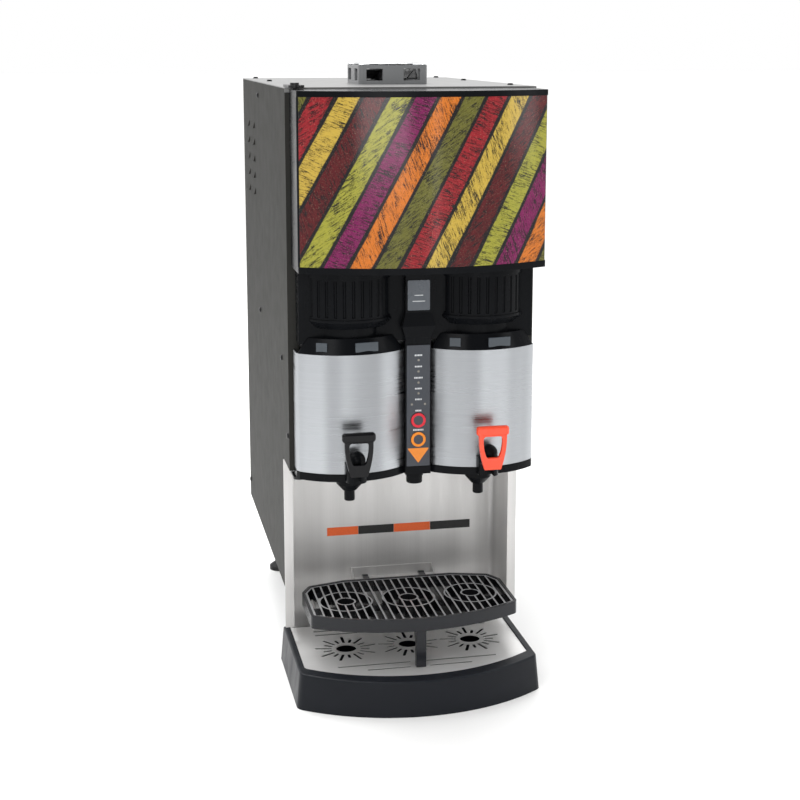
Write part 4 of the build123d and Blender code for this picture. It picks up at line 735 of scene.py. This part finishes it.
# Height of each dash on the name plate, and its half width.
PLATE_DASHES = ((530.0, 5.5), (522.5, 8.0))
plate_marks = bmesh.new()
for z, half in PLATE_DASHES:
    add_print(plate_marks, PLATE_FRONT, -half, half, z - 0.5, z + 0.5)
keep(plate_marks, "plate_marks", "door", "label_grey", look=INK_PALE, smooth=False)

BAND_BOTTOM = 162.5
BAND_TOP = 174.5
BAND_RISE = 0.25 * MM
BAND_ROUND = 0.08 * MM
SPLASH_BANDS = (
    ("splash_band_amber", INK_ORANGE, ((-91.0, -47.0), (4.0, 56.0))),
    ("splash_band_black", INK_BLACK, ((-46.7, 3.7), (56.3, 114.0))),
)
for name, ink, spans in SPLASH_BANDS:
    band = bmesh.new()
    for x0, x1 in spans:
        add_print(band, SPLASH_FRONT, x0, x1, BAND_BOTTOM, BAND_TOP, BAND_RISE, BAND_ROUND, 1)
    keep(band, name, "cabinet", "splash_steel", look=ink, smooth=False)


# ------------------------------------------------------------------ studio

def area_light(name, at, towards, size, energy):
    """Softbox aimed at a point."""
    data = bpy.data.lights.new(name, "AREA")
    data.shape = "RECTANGLE"
    data.size, data.size_y = size
    data.energy = energy
    light = bpy.data.objects.new(name, data)
    light.location = at
    light.rotation_euler = (Vector(towards) - Vector(at)).to_track_quat("-Z", "Y").to_euler()
    bpy.context.scene.collection.objects.link(light)


AIM = (0.0, 0.0, 0.42)
BAY = (0.0, -0.1, 0.1)
area_light("key", (-1.3, -2.2, 2.3), AIM, (1.2, 1.2), 22.0)
area_light("fill", (2.2, -1.6, 1.3), AIM, (0.7, 1.6), 12.0)
area_light("top", (0.0, 1.1, 2.8), AIM, (2.4, 1.4), 60.0)
area_light("strip", (0.55, -2.3, 0.7), AIM, (0.12, 1.6), 1.5)
area_light("bay", (-0.35, -2.4, 0.75), BAY, (0.9, 0.5), 7.0)

sun_data = bpy.data.lights.new("overcast", "SUN")
sun_data.energy = 1.7
sun_data.angle = math.radians(60)
sun = bpy.data.objects.new("overcast", sun_data)
sun.rotation_euler = (math.radians(-12), math.radians(-14), 0)
bpy.context.scene.collection.objects.link(sun)

FLOOR_HALF = 40.0
floor_mesh = bpy.data.meshes.new("floor")
floor_work = bmesh.new()
bmesh.ops.create_grid(floor_work, x_segments=8, y_segments=8, size=FLOOR_HALF)
floor_work.to_mesh(floor_mesh)
floor_work.free()
floor = bpy.data.objects.new("floor", floor_mesh)
bpy.context.scene.collection.objects.link(floor)
floor_look = Look("floor_paper", (0.86, 0.86, 0.855), 0.55, Specular_IOR_Level=0.25)
floor_look.tint(floor_look.noise(1.5, detail=3.0), 0.985, 1.01)
floor_look.gloss(floor_look.noise(12.0), 0.5, 0.6)
floor_look.bump((floor_look.noise(900.0), 0.00002))
floor_mesh.materials.append(floor_look.material)

# The surroundings are white behind the object and fall to dark in front of it.
DARK_Y = -0.9
WHITE_Y = 0.0
DARK_LEVEL = 0.12
world = bpy.data.worlds.new("studio")
world.use_nodes = True
bpy.context.scene.world = world
sky = world.node_tree
background = sky.nodes["Background"]
background.inputs["Strength"].default_value = 1.0
direction = sky.nodes.new("ShaderNodeTexCoord")
split = sky.nodes.new("ShaderNodeSeparateXYZ")
shade = sky.nodes.new("ShaderNodeMapRange")
shade.inputs["From Min"].default_value = DARK_Y
shade.inputs["From Max"].default_value = WHITE_Y
shade.inputs["To Min"].default_value = DARK_LEVEL
shade.inputs["To Max"].default_value = 1.0
sky.links.new(direction.outputs["Generated"], split.inputs[0])
sky.links.new(split.outputs["Y"], shade.inputs["Value"])
sky.links.new(shade.outputs["Result"], background.inputs["Color"])
